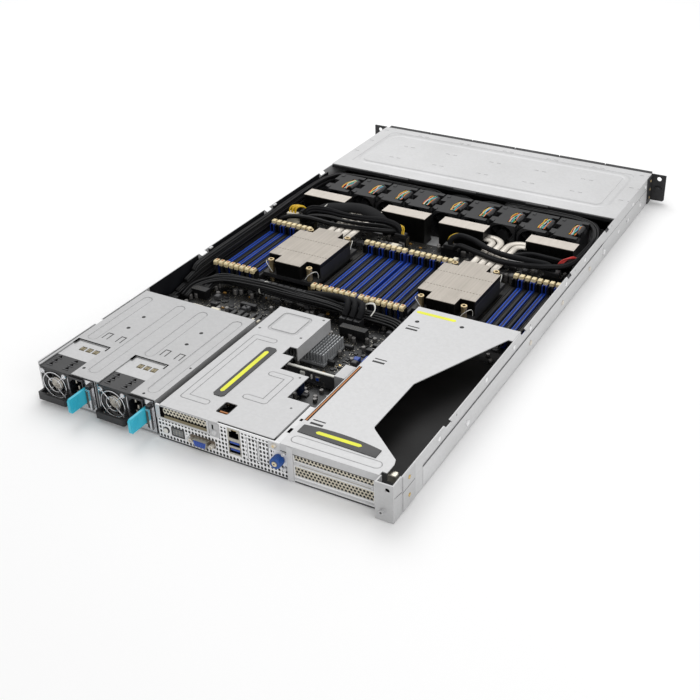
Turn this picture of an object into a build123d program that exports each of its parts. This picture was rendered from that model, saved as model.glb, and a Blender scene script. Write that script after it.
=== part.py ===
from build123d import *
import math
import os

# One-unit rack server, top lid off. Millimetres, +Z up.
# While it is built, y counts forward from the outer face of the rear rack bracket
# and x counts to the right as seen from the rear. Everything is shifted at the end
# so that the origin lies under the middle of the whole object.

# Enclosure
body_width = 439.5
body_height = 43.2
sheet = 1.0
ear_width = 21.55
ear_thickness = 2.0
front_reach = 12.5
rear_reach = 15.0
seat_gap = 0.3

half_width = body_width / 2
wall_top = body_height - sheet
wall_inner = half_width - sheet

# Places along the depth, each group counted on from the one behind it
panel_y = 12.0
wall_rear_y = 17.0
memory_rear_y = 318.0
socket_length = 136.0
board_front_gap = 66.0
fin_gap = 8.0
remote_depth = 21.5
fan_gap = 10.5
fan_depth = 56.0
cable_space = 71.6
backplane_thickness = 2.4
cage_length = 122.0
cover_overhang = 50.5

memory_front_y = memory_rear_y + socket_length
board_front_y = memory_front_y + board_front_gap
remote_rear_y = board_front_y + fin_gap
fan_rear_y = remote_rear_y + remote_depth + fan_gap
cage_rear_y = fan_rear_y + fan_depth + cable_space + backplane_thickness
cover_rear_y = cage_rear_y - cover_overhang
wall_front_y = cage_rear_y + cage_length + sheet
ear_plane_y = wall_front_y + ear_thickness
middle_y = (ear_plane_y + front_reach - rear_reach) / 2

# Pressed ring on the bay cover
ring_inset = 19.75
ring_front_inset = 16.0
ring_width = 13.0
ring_depth = 0.4
ring_corner = 6.0

# Side wall details
lid_hook_y = (118.0, 315.0, 465.0, wall_front_y - 203.0)
lid_hook_width = 12.0
lid_hook_depth = 5.8
lid_hook_lean = 7.0
groove_z = 25.2
groove_height = 2.5
groove_depth = 0.4
groove_start_y = 60.0
groove_end_y = wall_front_y - 213.0
stud_y = (160.0, wall_front_y - 216.0)
stud_z = 13.0
stud_radius = 3.2
stud_length = 2.6

# Mainboard
board_wall_gap = 4.75
board_half_width = wall_inner - board_wall_gap
board_corner = 10.0
board_corner_length = 18.0
board_step_y = 204.0
board_step_x = -54.0
board_rear_y = 16.0
board_bottom = 6.5
board_thickness = 2.0
standoff_across = 6.0
board_top = board_bottom + board_thickness

# Memory sockets
socket_pitch = 7.95
socket_width = 6.0
socket_middle_y = memory_rear_y + socket_length / 2
socket_rail_height = 8.0
socket_tower_height = 18.5
socket_tower_length = 8.0
latch_head = 9.0
latch_stem = 4.0
latch_cap = 4.0
latch_lift = 5.5
# first socket's x, step direction, and whether the first one is blue
memory_banks = (
    (-203.0, 1, True),
    (-1.9, -1, True),
    (8.6, 1, True),
    (154.2, 1, False),
)
sockets_per_bank = 8

# Processor coolers
cooler_x = (-105.6, 106.3)
cooler_middle_y = socket_middle_y + 2.0
cooler_width = 76.0
cooler_length = 108.0
cooler_top = 40.5
cooler_base_thickness = 5.0
cooler_channels = 12
channel_width = 5.0
corner_notch_x = 19.0
corner_notch_y = 16.5
cooler_screw_x = 28.1
cooler_screw_y = 48.0
cooler_screw_radius = 3.3
cooler_screw_top = 38.5
socket_block_width = 70.0
socket_block_length = 84.0
socket_block_height = 7.0
remote_offset = 62.5
remote_width = 66.0
remote_channels = 9
pipe_z = 27.0
pipe_width = 7.0
pipe_thickness = 4.4
pipe_bend = 10.0
pipe_spread = (16.0, 5.3)

# Chipset cooler
chipset_left_x = -16.0
chipset_rear_y = memory_rear_y - 128.0
chipset_width = 48.0
chipset_length = 46.0
chipset_top = 24.0
chipset_fins = 8

# Fans
fan_count = 9
fan_pitch = 42.8
fan_first_x = -169.0
fan_size = 40.0
fan_bore_radius = 18.5
fan_notch = 8.5
fan_notch_length = 15.0
fan_flange = 7.0
rotor_clearance = 0.6
rotor_hub_radius = 9.0
rotor_length = 20.0
rotor_blades = 5
psu_rotor_blades = 7
fan_bore_sides = 14
blade_thickness = 1.2
stator_bar = 3.0
stator_depth = 4.0

# Drive bays
bay_columns = 6
cage_wall = 1.2
cage_front_gap = 1.5
carrier_clearance = 0.3
carrier_face_depth = 14.0
drive_width = 69.0
drive_length = 100.0
drive_height = 14.0
tray_wall = 1.0
lever_thickness = 2.5
vent_slots = 2

# Power supplies
psu_wall_gap = 3.55
psu_pitch = 79.2
psu_left_x = (psu_wall_gap - wall_inner, psu_wall_gap - wall_inner + psu_pitch)
psu_width = 73.5
psu_height = 39.5
psu_rear_y = 14.0
psu_front_y = 196.0
psu_wall = 1.0
psu_clearance = 0.6
psu_face_thickness = 2.0
psu_fan_x = 18.6
psu_fan_radius = 17.0
psu_rotor_radius = 16.0
psu_plate_right = 42.2
motor_bar_inset = 15.0
psu_plate_front_y = 41.0
inlet_left = 40.5
inlet_right = 61.0
inlet_bottom = 11.0
inlet_top = 38.0
inlet_wall = 1.6
inlet_depth = 17.0
inlet_chamfer = 5.0
latch_x = 62.3
latch_thickness = 3.0
latch_bottom = 13.5
latch_height = 17.5
latch_pivot_y = 19.0
latch_side_gap = 0.5
handle_left = 0.6
handle_right = 39.0
handle_bottom = 3.0
handle_height = 8.0
handle_bar = 2.8
handle_reach = 10.5
guard_wire = 1.3
guard_ring_radius = 16.6
guard_ring_sides = 14
cage_front_y = 196.4
cage_opening_y = 73.5
cage_opening_left = 1.2
cage_opening_right = 44.0
rib_width = 13.0
rib_depth = 0.4
rib_front_y = 185.0
short_rib_left = 7.2
long_rib_left = 54.5
long_rib_rear_y = 25.0
finger_slots = 3
finger_left = 16.0
finger_pitch = 9.0
finger_width = 7.0
finger_rear_y = 57.0
finger_length = 8.0

# Rear panel
panel_left_x = -58.0
bracket_width = 19.5
bracket_gap = 0.25
panel_right_x = half_width - bracket_width - bracket_gap
panel_top = wall_top - sheet
mid_slot_x = (-50.0, 5.0)
mid_slot_z = (23.5, 34.5)
right_slot_x = (106.0, 193.0)
right_slot_z = ((7.5, 19.0), (25.5, 34.5))
port_x = 36.4
port_width = 14.6
port_depth = 22.0
port_top = 39.5
vga_x = -2.4
vga_z = 12.0
vga_post_spacing = 25.0
display_x = (-40.0, -27.0)
display_top = 16.5
button_x = -48.1
button_z = 11.4
button_radius = 2.3
button_travel = 1.0
knob_x = 89.6
knob_z = 22.3
knob_radius = 6.2
knob_length = 9.7
knob_shank_radius = 2.0
running_fit = 0.06

# Riser covers
riser_rear_flange = 10.5
mid_cover_left_x = -52.5
mid_cover_front_y = 236.0
right_cover_left_x = 91.3
right_cover_front_y = memory_rear_y - 10.0
grip_thickness = 0.8
card_thickness = 1.6
mid_card_x = 18.0
right_card_x = 94.4
right_card_rear_y = 54.6
right_card_front_y = 164.4
card_slot_gap = 0.4
mid_step_x = 17.7
mid_front_x = 14.7
mid_right_x = 82.7
cover_skirt_bottom = 33.0

# Cable looms, lying on the mainboard or held between two plugs
thick_loom_radius = 6.5
wall_loom_radius = 4.6
fan_lead_radius = 3.2
fan_lead_z = 34.0

# Plug headers: x, y, width along x, length along y, height
loom_header = (-188.5, memory_rear_y - 56, 22.0, 10.0, 12.0)
loom_end_header = (80.0, memory_rear_y - 50, 10.0, 26.0, 13.0)
wall_header = (12.25 - wall_inner, board_step_y + 20, 13.0, 18.0, 12.0)
middle_header = (30.0, memory_rear_y - 56, 34.0, 9.0, 13.0)
left_lead_headers = (
    (-176.0, board_front_y - 28, 26.0, 12.0, 11.0),
    (-34.0, board_front_y - 15, 20.0, 10.0, 11.0),
)
right_lead_headers = (
    (40.0, board_front_y - 15, 24.0, 10.0, 11.0),
    (188.0, board_front_y - 28, 26.0, 12.0, 11.0),
)

# Rack ears and rear bracket
ear_side_thickness = 1.5
ear_hole_radius = 3.4
ear_hole_x = half_width + 11.75
ear_hole_z = 20.8
ear_hole_spacing = 15.875
power_button_width = 5.0
power_button_depth = 3.5
power_button_drop = 11.1
bracket_thickness = 1.5
bracket_hole_radius = 2.6
bracket_pin_radius = 2.4
bracket_pin_bore = 1.3
bracket_pin_length = 4.2


def block(x0, x1, y0, y1, z0, z1):
    """A box given by its two corners."""
    middle = Pos((x0 + x1) / 2, (y0 + y1) / 2, (z0 + z1) / 2)
    return middle * Box(x1 - x0, y1 - y0, z1 - z0)


def plan(points, z0, z1):
    """An outline seen from above, given anticlockwise, between two heights."""
    return Pos(0, 0, z0) * extrude(Polygon(*points, align=None), z1 - z0)


def side_profile(points, x0, x1):
    """An outline in y and z, carried along x."""
    return extrude(Plane.YZ.offset(x0) * Polygon(*points, align=None), x1 - x0)


def rear_profile(points, y0, y1):
    """An outline in x and z, carried along y."""
    return extrude(Plane.XZ.offset(-y0) * Polygon(*points, align=None), y0 - y1)


def rod_y(x, z, y0, y1, radius):
    """A round bar along y."""
    return Pos(x, (y0 + y1) / 2, z) * Rot(90, 0, 0) * Cylinder(radius, y1 - y0)


def prism_y(x, z, y0, y1, radius, sides):
    """A bar along y with a regular many-sided section."""
    return extrude(Plane.XZ.offset(-y0) * Pos(x, z) * RegularPolygon(radius, sides), y0 - y1)


def rounded_slab(x0, x1, y0, y1, z0, z1, radius):
    """A flat block with round corners in plan."""
    outline = RectangleRounded(x1 - x0, y1 - y0, radius)
    return Pos((x0 + x1) / 2, (y0 + y1) / 2, z0) * extrude(outline, z1 - z0)


def cut_corner_slab(x0, x1, y0, y1, z0, z1, cut):
    """A flat block with cut corners in plan."""
    outline = [
        (x0 + cut, y0), (x1 - cut, y0), (x1, y0 + cut), (x1, y1 - cut),
        (x1 - cut, y1), (x0 + cut, y1), (x0, y1 - cut), (x0, y0 + cut),
    ]
    return plan(outline, z0, z1)


def group(shapes):
    """Separate solids kept together."""
    return Compound([solid for shape in shapes for solid in shape.solids()])


# Enclosure pieces
def standoff_places():
    """Where the mainboard rests on its hexagonal standoffs."""
    edge = board_half_width - standoff_across
    rows = (board_step_y + 30, cooler_middle_y - 82, board_front_y - standoff_across)
    places = [(x, y) for y in rows for x in (-edge, 0, edge)]
    return places + [(board_step_x + 12, board_rear_y + 34), (edge, board_rear_y + 34)]


def make_chassis_tray():
    tray = block(-half_width, half_width, panel_y + sheet, wall_front_y, 0, sheet)
    for side in (-1, 1):
        outer = side * half_width
        inner = side * wall_inner
        tray += block(min(outer, inner), max(outer, inner), wall_rear_y, wall_front_y, 0, wall_top)
        groove_floor = side * (half_width - groove_depth)
        tray -= block(
            min(groove_floor, outer), max(groove_floor, outer),
            groove_start_y, groove_end_y, groove_z, groove_z + groove_height,
        )
    for hook_y in lid_hook_y:
        slot = [
            (hook_y - lid_hook_width, wall_top + 1),
            (hook_y + lid_hook_lean - lid_hook_width, wall_top - lid_hook_depth),
            (hook_y + lid_hook_lean, wall_top - lid_hook_depth),
            (hook_y, wall_top + 1),
        ]
        tray -= side_profile(slot, -half_width - 1, half_width + 1)
    for x, y in standoff_places():
        tray += Pos(x, y, sheet) * extrude(RegularPolygon(standoff_across / 2, 6), board_bottom - sheet)
    return tray - block(half_width - bracket_thickness, half_width + 1, 0, wall_rear_y, -1, sheet + 1)


def make_bay_cover():
    cover = block(-half_width, half_width, cover_rear_y, wall_front_y, wall_top, body_height)
    outer = half_width - ring_inset
    inner = outer - ring_width
    bottom = body_height - ring_depth
    ring = cut_corner_slab(
        -outer, outer, cover_rear_y + ring_inset, wall_front_y - ring_front_inset,
        bottom, body_height, ring_corner,
    )
    ring -= cut_corner_slab(
        -inner, inner,
        cover_rear_y + ring_inset + ring_width, wall_front_y - ring_front_inset - ring_width,
        0, body_height, ring_corner,
    )
    return cover - ring


def make_rack_ear():
    flange = block(half_width, half_width + ear_width, wall_front_y, ear_plane_y, 3, body_height)
    corner = Rot(0, 45, 0) * Box(3, 4 * ear_plane_y, 3)
    flange -= Pos(half_width + ear_width, 0, 3) * corner
    side = [
        (wall_front_y - 14, 1),
        (wall_front_y, 1),
        (wall_front_y, body_height - 1),
        (wall_front_y - 22, body_height - 1),
    ]
    ear = flange + side_profile(side, half_width, half_width + ear_side_thickness)
    for z in (ear_hole_z, ear_hole_z + ear_hole_spacing):
        ear -= rod_y(ear_hole_x, z, wall_front_y - 1, ear_plane_y + 1, ear_hole_radius)
    return ear


def make_power_switch_ear():
    """The ear that carries the power button, with its switch housing behind."""
    ear = make_rack_ear()
    z = ear_hole_z - power_button_drop
    ear += block(ear_hole_x - 6, ear_hole_x + 6, wall_front_y - 7, wall_front_y, z - 4.5, z + 4.5)
    half = power_button_width / 2 + seat_gap
    return ear - block(
        ear_hole_x - half, ear_hole_x + half,
        wall_front_y - power_button_depth, ear_plane_y + 1, z - half, z + half,
    )


def make_power_button():
    z = ear_hole_z - power_button_drop
    half = power_button_width / 2
    inner = wall_front_y - power_button_depth + button_travel + seat_gap
    return block(ear_hole_x - half, ear_hole_x + half, inner, ear_plane_y + 1.5, z - half, z + half)


def make_rear_bracket():
    x1 = half_width
    x0 = x1 - bracket_width
    flange = block(x0, x1, 0, bracket_thickness, 0, body_height)
    flange += block(x1 - bracket_thickness, x1, 0, wall_rear_y, 0, body_height)
    flange += block(x0, x0 + bracket_thickness, 0, panel_y, 0, wall_top)
    slit = [
        (bracket_thickness + 1, 27.2),
        (wall_rear_y + 1, 24.4),
        (wall_rear_y + 1, 25.4),
        (bracket_thickness + 1, 28.2),
    ]
    flange -= side_profile(slit, x1 - bracket_thickness - 1, x1 + 1)
    flange -= rod_y(x1 - 6.2, 36.6, -1, bracket_thickness + 1, bracket_hole_radius)
    flange += rod_y(x1 - 11.3, 11.8, -bracket_pin_length, bracket_thickness, bracket_pin_radius)
    return flange - rod_y(x1 - 11.3, 11.8, -bracket_pin_length - 1, bracket_thickness + 1, bracket_pin_bore)


def make_rail_studs():
    studs = []
    for y in stud_y:
        place = Pos(half_width + stud_length / 2, y, stud_z)
        stud = place * Rot(0, 90, 0) * Cylinder(stud_radius, stud_length)
        studs += [stud, mirror(stud, Plane.YZ)]
    return group(studs)


# Mainboard and what stands on it
def make_mainboard():
    outline = [
        (board_step_x, board_rear_y),
        (board_half_width, board_rear_y),
        (board_half_width, board_front_y - board_corner_length),
        (board_half_width - board_corner, board_front_y),
        (-board_half_width + board_corner, board_front_y),
        (-board_half_width, board_front_y - board_corner_length),
        (-board_half_width, board_step_y),
        (board_step_x, board_step_y),
    ]
    board = plan(outline, board_bottom, board_top)
    pieces = [board]
    for x in cooler_x:
        pieces.append(block(
            x - socket_block_width / 2, x + socket_block_width / 2,
            cooler_middle_y - socket_block_length / 2, cooler_middle_y + socket_block_length / 2,
            board_top, board_top + socket_block_height,
        ))
    headers = [loom_header, loom_end_header, wall_header, middle_header]
    for x, y, width, length, height in [*headers, *left_lead_headers, *right_lead_headers]:
        pieces.append(block(
            x - width / 2, x + width / 2, y - length / 2, y + length / 2, board_top, board_top + height,
        ))
    return group(pieces)


def memory_places(blue):
    """The x of each memory socket of one colour. Colours alternate along a bank."""
    places = []
    for first_x, direction, first_is_blue in memory_banks:
        for index in range(sockets_per_bank):
            if (index % 2 == 0) == (first_is_blue == blue):
                places.append(first_x + direction * index * socket_pitch)
    return places


def make_memory_sockets(blue):
    """Long rails with a raised tower at each end, between which the module stands."""
    end = socket_length / 2
    tower = end - socket_tower_length
    low = board_top
    rail = board_top + socket_rail_height
    high = board_top + socket_tower_height
    outline = [
        (-end, low), (end, low), (end, high), (tower, high),
        (tower, rail), (-tower, rail), (-tower, high), (-end, high),
    ]
    socket = Pos(0, socket_middle_y, 0) * side_profile(outline, -socket_width / 2, socket_width / 2)
    return group(Pos(x, 0, 0) * socket for x in memory_places(blue))


def make_memory_latches():
    """A locking lever at each end of each socket, hooked over the tower."""
    end = socket_length / 2
    high = board_top + socket_tower_height
    outline = [
        (end, board_top + latch_lift),
        (end + latch_stem, board_top + latch_lift),
        (end + latch_stem, high + 0.7 * latch_cap),
        (end + latch_stem - latch_head, high + latch_cap),
        (end + latch_stem - latch_head, high),
        (end, high),
    ]
    half = socket_width / 2 - seat_gap
    front = Pos(0, socket_middle_y, 0) * side_profile(outline, -half, half)
    rear = mirror(front, Plane.XZ.offset(-socket_middle_y))
    places = memory_places(True) + memory_places(False)
    return group(Pos(x, 0, 0) * latch for x in places for latch in (front, rear))


# Coolers
def fin_block(width, length, bottom, top, channels, x, y):
    """A base with upright fins: one comb outline carried along y."""
    pitch = width / channels
    root = bottom + cooler_base_thickness
    outline = [(x - width / 2, bottom), (x + width / 2, bottom)]
    for index in range(channels):
        right = x + width / 2 - pitch * index
        wall = (pitch - channel_width) / 2
        outline += [(right, top), (right - wall, top), (right - wall, root), (right - pitch + wall, root)]
        outline += [(right - pitch + wall, top), (right - pitch, top)]
    corners = [point for point, before in zip(outline[1:], outline) if point != before]
    return rear_profile([outline[0], *corners], y - length / 2, y + length / 2)


def make_cooler_fins():
    seat = board_top + socket_block_height
    pieces = []
    for x in cooler_x:
        cooler = fin_block(
            cooler_width, cooler_length, seat, cooler_top, cooler_channels, x, cooler_middle_y,
        )
        for side_x in (-1, 1):
            for side_y in (-1, 1):
                corner_x = x + side_x * (cooler_width / 2 - corner_notch_x / 2 + 1)
                corner_y = cooler_middle_y + side_y * (cooler_length / 2 - corner_notch_y / 2 + 1)
                cooler -= block(
                    corner_x - corner_notch_x / 2 - 1, corner_x + corner_notch_x / 2 + 1,
                    corner_y - corner_notch_y / 2 - 1, corner_y + corner_notch_y / 2 + 1,
                    seat + cooler_base_thickness - 2, cooler_top + 1,
                )
        for side_x in (-1, 1):
            for side_y in (-1, 1):
                hole = Pos(x + side_x * cooler_screw_x, cooler_middle_y + side_y * cooler_screw_y, seat)
                cooler -= hole * extrude(RegularPolygon(cooler_screw_radius + seat_gap, 6), 9, both=True)
        pieces.append(cooler)
        for side in (-1, 1):
            pieces.append(fin_block(
                remote_width, remote_depth, sheet, cooler_top, remote_channels,
                x + side * remote_offset, remote_rear_y + remote_depth / 2,
            ))
    return group(pieces)


def make_cooler_pipes():
    """Flattened heat pipes: out of the cooler's front face, then round into a side block's end."""
    start_y = cooler_middle_y + cooler_length / 2
    pieces = []
    for x in cooler_x:
        for side in (-1, 1):
            end_x = x + side * (remote_offset - remote_width / 2)
            for row, spread in enumerate(pipe_spread):
                turn_y = remote_rear_y + remote_depth * (0.28 + 0.44 * row)
                start_x = x + side * spread
                radius = min(pipe_bend + row * 8, abs(end_x - start_x) - 1)
                path = FilletPolyline(
                    (start_x, start_y, pipe_z), (start_x, turn_y, pipe_z), (end_x, turn_y, pipe_z),
                    radius=radius,
                )
                start = Plane(origin=(start_x, start_y, pipe_z), x_dir=(1, 0, 0), z_dir=(0, 1, 0))
                pieces.append(sweep(start * Rectangle(pipe_width, pipe_thickness), path=path))
    return group(pieces)


def make_cooler_screws():
    screws = []
    for x in cooler_x:
        for side_x in (-1, 1):
            for side_y in (-1, 1):
                screw_y = cooler_middle_y + side_y * cooler_screw_y
                place = Pos(x + side_x * cooler_screw_x, screw_y, board_top)
                screw = extrude(RegularPolygon(cooler_screw_radius, 6), cooler_screw_top - board_top)
                screws.append(place * screw)
    return group(screws)


def make_chipset_cooler():
    x0 = chipset_left_x
    y1 = chipset_rear_y + chipset_length
    cooler = block(x0, x0 + chipset_width, chipset_rear_y, y1, board_top, chipset_top)
    pitch = chipset_width / chipset_fins
    for index in range(1, chipset_fins):
        middle = x0 + index * pitch
        cooler -= block(
            middle - pitch / 4, middle + pitch / 4,
            chipset_rear_y - 1, y1 + 1, board_top + 3, chipset_top + 1,
        )
    return cooler


# Fans
def fan_x(index):
    """The middle of one fan, counted from the left as seen from the rear."""
    return fan_first_x + index * fan_pitch


fan_bore_corner = fan_bore_radius / math.cos(math.pi / fan_bore_sides)


def fan_axis_z():
    return sheet + fan_size / 2


def make_fan_frame(index):
    """Square frame with a round bore, notched corners on top and a bar that carries the motor."""
    x = fan_x(index)
    z = fan_axis_z()
    y1 = fan_rear_y + fan_depth
    half = fan_size / 2
    frame = block(x - half, x + half, fan_rear_y, y1, z - half, z + half)
    frame -= prism_y(x, z, fan_rear_y - 1, y1 + 1, fan_bore_corner, fan_bore_sides)
    top = z + fan_size / 2
    for notch_y in (fan_rear_y + fan_flange, y1 - fan_flange - fan_notch_length):
        for side in (-1, 1):
            edge = x + side * fan_size / 2
            corner = [(edge, top), (edge - side * fan_notch, top), (edge, top - fan_notch)]
            frame -= rear_profile(corner, notch_y, notch_y + fan_notch_length)
    bar_y = fan_rear_y + fan_depth / 2
    reach = fan_bore_corner
    bar = block(x - reach, x + reach, bar_y, bar_y + stator_depth, z - stator_bar / 2, z + stator_bar / 2)
    frame += bar
    return frame


def make_rotor(x, z, y0, radius, hub_radius, length, blades):
    """Hub with pitched, folded blades, turning about y."""
    hub = prism_y(x, z, y0, y0 + length, hub_radius, 2 * blades)
    chord = radius * 0.62
    root = hub_radius * math.cos(math.pi / (2 * blades)) - 0.8
    reach = math.sqrt(radius ** 2 - (chord / 2 + blade_thickness) ** 2)
    rise = length * 0.42
    camber = chord * 0.14
    section = [
        (-chord / 2, -rise), (camber, 0), (chord / 2, rise), (chord / 2 - blade_thickness, rise),
        (camber - blade_thickness, 0), (-chord / 2 - blade_thickness, -rise),
    ]
    blade_plane = Plane(origin=(root, 0, 0), x_dir=(0, 1, 0), z_dir=(1, 0, 0))
    blade = extrude(blade_plane * Polygon(*section, align=None), reach - root)
    place = Pos(x, y0 + length / 2, z) * Rot(90, 0, 0)
    for index in range(blades):
        hub += place * Rot(0, 0, 360 / blades * index) * blade
    return hub


def make_fan_rotor(index):
    start = fan_rear_y + fan_depth / 2 - seat_gap - rotor_length
    return make_rotor(
        fan_x(index), fan_axis_z(), start, fan_bore_radius - rotor_clearance,
        rotor_hub_radius, rotor_length, rotor_blades,
    )


# Drive bays
cage_end_y = wall_front_y - sheet - cage_front_gap
bay_pitch = (2 * wall_inner - cage_wall) / bay_columns
bay_width = bay_pitch - cage_wall
row_height = (wall_top - sheet - cage_wall) / 2


def make_drive_cage():
    """Upright walls between the columns and one shelf between the two rows."""
    cage = block(
        -wall_inner, wall_inner, cage_rear_y, cage_end_y,
        sheet + row_height, sheet + row_height + cage_wall,
    )
    for index in range(bay_columns + 1):
        x = -wall_inner + index * bay_pitch
        cage += block(x, x + cage_wall, cage_rear_y, cage_end_y, sheet, wall_top)
    return cage


def make_drive_backplane():
    front = cage_rear_y
    edge = wall_inner - 3
    board = block(-edge, edge, front - backplane_thickness, front, sheet, wall_top - 3)
    for index in range(bay_columns):
        x = -wall_inner + cage_wall + index * bay_pitch + bay_width / 2
        middle = sheet + row_height
        board -= block(x - 24, x + 24, front - 9, front + 1, middle - 3, middle + 3)
    pieces = [board]
    for index in range(bay_columns):
        x = -wall_inner + cage_wall + index * bay_pitch + bay_width / 2
        for row in (0, 1):
            z = sheet + row * (row_height + cage_wall) + (5.5 if row == 0 else 10.5)
            pieces.append(block(x - 22, x + 22, front, front + 5, z - 2.5, z + 2.5))
    return group(pieces)


def make_drive_carrier(column, row):
    """A drive in its tray, with the face and the lever that locks it."""
    x = -wall_inner + cage_wall + column * bay_pitch + bay_width / 2
    width = bay_width - 2 * carrier_clearance
    z0 = sheet + row * (row_height + cage_wall) + carrier_clearance
    z1 = z0 + row_height - 2 * carrier_clearance
    face_y = ear_plane_y + front_reach - lever_thickness
    face_rear = face_y - carrier_face_depth
    tray_rear = cage_rear_y + 8
    face = block(x - width / 2, x + width / 2, face_rear, face_y, z0, z1)
    slot_pitch = (width - 22) / vent_slots
    for index in range(vent_slots):
        left = x - width / 2 + 3 + index * slot_pitch
        face -= block(left, left + slot_pitch - 2.5, face_rear - 1, face_y + 1, z0 + 3, z1 - 3)
    tray = [
        (x - width / 2, z0), (x + width / 2, z0),
        (x + width / 2, z0 + 9), (x + width / 2 - tray_wall, z0 + 9),
        (x + width / 2 - tray_wall, z0 + tray_wall), (x - width / 2 + tray_wall, z0 + tray_wall),
        (x - width / 2 + tray_wall, z0 + 9), (x - width / 2, z0 + 9),
    ]
    face += rear_profile(tray, tray_rear, face_rear)
    drive_width_here = min(drive_width, width - 2 * tray_wall - 0.2)
    drive = block(
        x - drive_width_here / 2, x + drive_width_here / 2,
        face_rear - drive_length, face_rear - seat_gap,
        z0 + tray_wall, z0 + tray_wall + drive_height,
    )
    lever = block(
        x + width / 2 - 17, x + width / 2 - 2, face_y, face_y + lever_thickness, z0 + 2, z1 - 2,
    )
    return group([face, drive, lever])


# Power supplies
psu_bottom = sheet + seat_gap
psu_top = psu_bottom + psu_height


def make_psu_cage():
    x0 = psu_left_x[0] - psu_clearance - sheet
    x1 = psu_left_x[-1] + psu_width + psu_clearance + sheet
    ceiling = psu_top + seat_gap
    rear = psu_rear_y + 1
    cage = block(x0, x1, rear, cage_front_y, sheet, ceiling + sheet)
    for left in psu_left_x:
        cage -= block(
            left - psu_clearance, left + psu_width + psu_clearance, rear - 1, cage_front_y + 1, 0, ceiling,
        )
        cage -= block(
            left + cage_opening_left, left + cage_opening_right, rear - 1, cage_opening_y,
            ceiling - 1, ceiling + 2 * sheet,
        )
    channel_left = psu_left_x[0] + psu_width + psu_clearance + sheet
    channel_right = psu_left_x[1] - psu_clearance - sheet
    cage -= block(channel_left, channel_right, rear - 1, cage_front_y + 1, 0, ceiling)
    top = ceiling + sheet
    for left in psu_left_x:
        for rib_left, start in ((short_rib_left, cage_opening_y + 5), (long_rib_left, long_rib_rear_y)):
            cage -= cut_corner_slab(
                left + rib_left, left + rib_left + rib_width, start, rib_front_y,
                top - rib_depth, top + 1, rib_width * 0.3,
            )
    return cage


def make_psu_case(index):
    """Steel shell, open at the rear, with a bracket inside for the fan motor."""
    x0 = psu_left_x[index]
    x1 = x0 + psu_width
    y0 = psu_rear_y + psu_face_thickness
    case = block(x0, x1, y0, psu_front_y, psu_bottom, psu_top)
    case -= block(
        x0 + psu_wall, x1 - psu_wall, y0 - 1, psu_front_y - psu_wall,
        psu_bottom + psu_wall, psu_top - psu_wall,
    )
    case -= block(
        x0 + psu_wall, x0 + psu_plate_right, y0 - 1, psu_plate_front_y, psu_top - psu_wall - 1, psu_top + 1,
    )
    fan_middle = x0 + psu_fan_x
    bar_y = y0 + motor_bar_inset
    case += block(
        fan_middle - stator_bar, fan_middle + stator_bar, bar_y, bar_y + stator_bar,
        psu_bottom + psu_wall, psu_top - psu_wall - 1,
    )
    for finger in range(finger_slots):
        left = x0 + finger_left + finger * finger_pitch
        case -= block(
            left, left + finger_width, finger_rear_y, finger_rear_y + finger_length,
            psu_top - psu_wall - 1, psu_top + 1,
        )
    return case


def make_psu_face(index):
    """Black moulding: rear face, top plate, inlet, finger strip and handle."""
    x0 = psu_left_x[index]
    x1 = x0 + psu_width
    y0 = psu_rear_y
    y1 = y0 + psu_face_thickness
    face = block(x0, x1, y0, y1, psu_bottom, psu_top)
    fan_middle = x0 + psu_fan_x
    fan_z = psu_bottom + psu_height / 2
    face -= prism_y(fan_middle, fan_z, y0 - 1, y1 + 1, psu_fan_radius, guard_ring_sides)
    face += block(
        x0 + psu_wall + 0.2, x0 + psu_plate_right - 0.2, y1, psu_plate_front_y - 0.2,
        psu_top - psu_wall, psu_top,
    )
    left = x0 + inlet_left
    right = x0 + inlet_right
    face += block(left, right, y0 - 2, y0 + inlet_depth, psu_bottom + inlet_bottom, psu_bottom + inlet_top)
    mouth_left = left + inlet_wall
    mouth_right = right - inlet_wall
    mouth_bottom = psu_bottom + inlet_bottom + inlet_wall
    mouth_top = psu_bottom + inlet_top - inlet_wall
    mouth = [
        (mouth_left + inlet_chamfer, mouth_bottom), (mouth_right, mouth_bottom), (mouth_right, mouth_top),
        (mouth_left + inlet_chamfer, mouth_top), (mouth_left, mouth_top - inlet_chamfer),
        (mouth_left, mouth_bottom + inlet_chamfer),
    ]
    face -= rear_profile(mouth, y0 - 3, y0 + inlet_depth - 1.5)
    tab_left = x0 + latch_x - latch_side_gap
    tab_right = x0 + latch_x + latch_thickness + latch_side_gap
    tab_bottom = psu_bottom + latch_bottom - seat_gap
    tab_top = psu_bottom + latch_bottom + latch_height + seat_gap
    face -= block(tab_left, tab_right, y0 - 1, y1 + 1, tab_bottom, tab_top)
    for low, high in ((tab_bottom - latch_thickness, tab_bottom), (tab_top, tab_top + latch_thickness)):
        face += block(tab_left, tab_right, y1, latch_pivot_y + latch_thickness, low, high)
    face += block(
        tab_right + latch_side_gap, x1 - 2 * psu_wall, y0 - 5, y0, tab_bottom - 5, tab_top + 4,
    )
    bail_rear = y0 - handle_reach
    bail_bottom = psu_bottom + handle_bottom
    bail = cut_corner_slab(
        x0 + handle_left, x0 + handle_right, bail_rear, y0 + handle_bar,
        bail_bottom, bail_bottom + handle_height, handle_bar * 0.6,
    )
    bail -= block(x0, x0 + psu_width, y0, psu_front_y, 0, psu_top)
    bail -= block(
        x0 + handle_left + handle_bar, x0 + handle_right - handle_bar, bail_rear + handle_bar, y0,
        0, psu_top,
    )
    return face + bail


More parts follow.
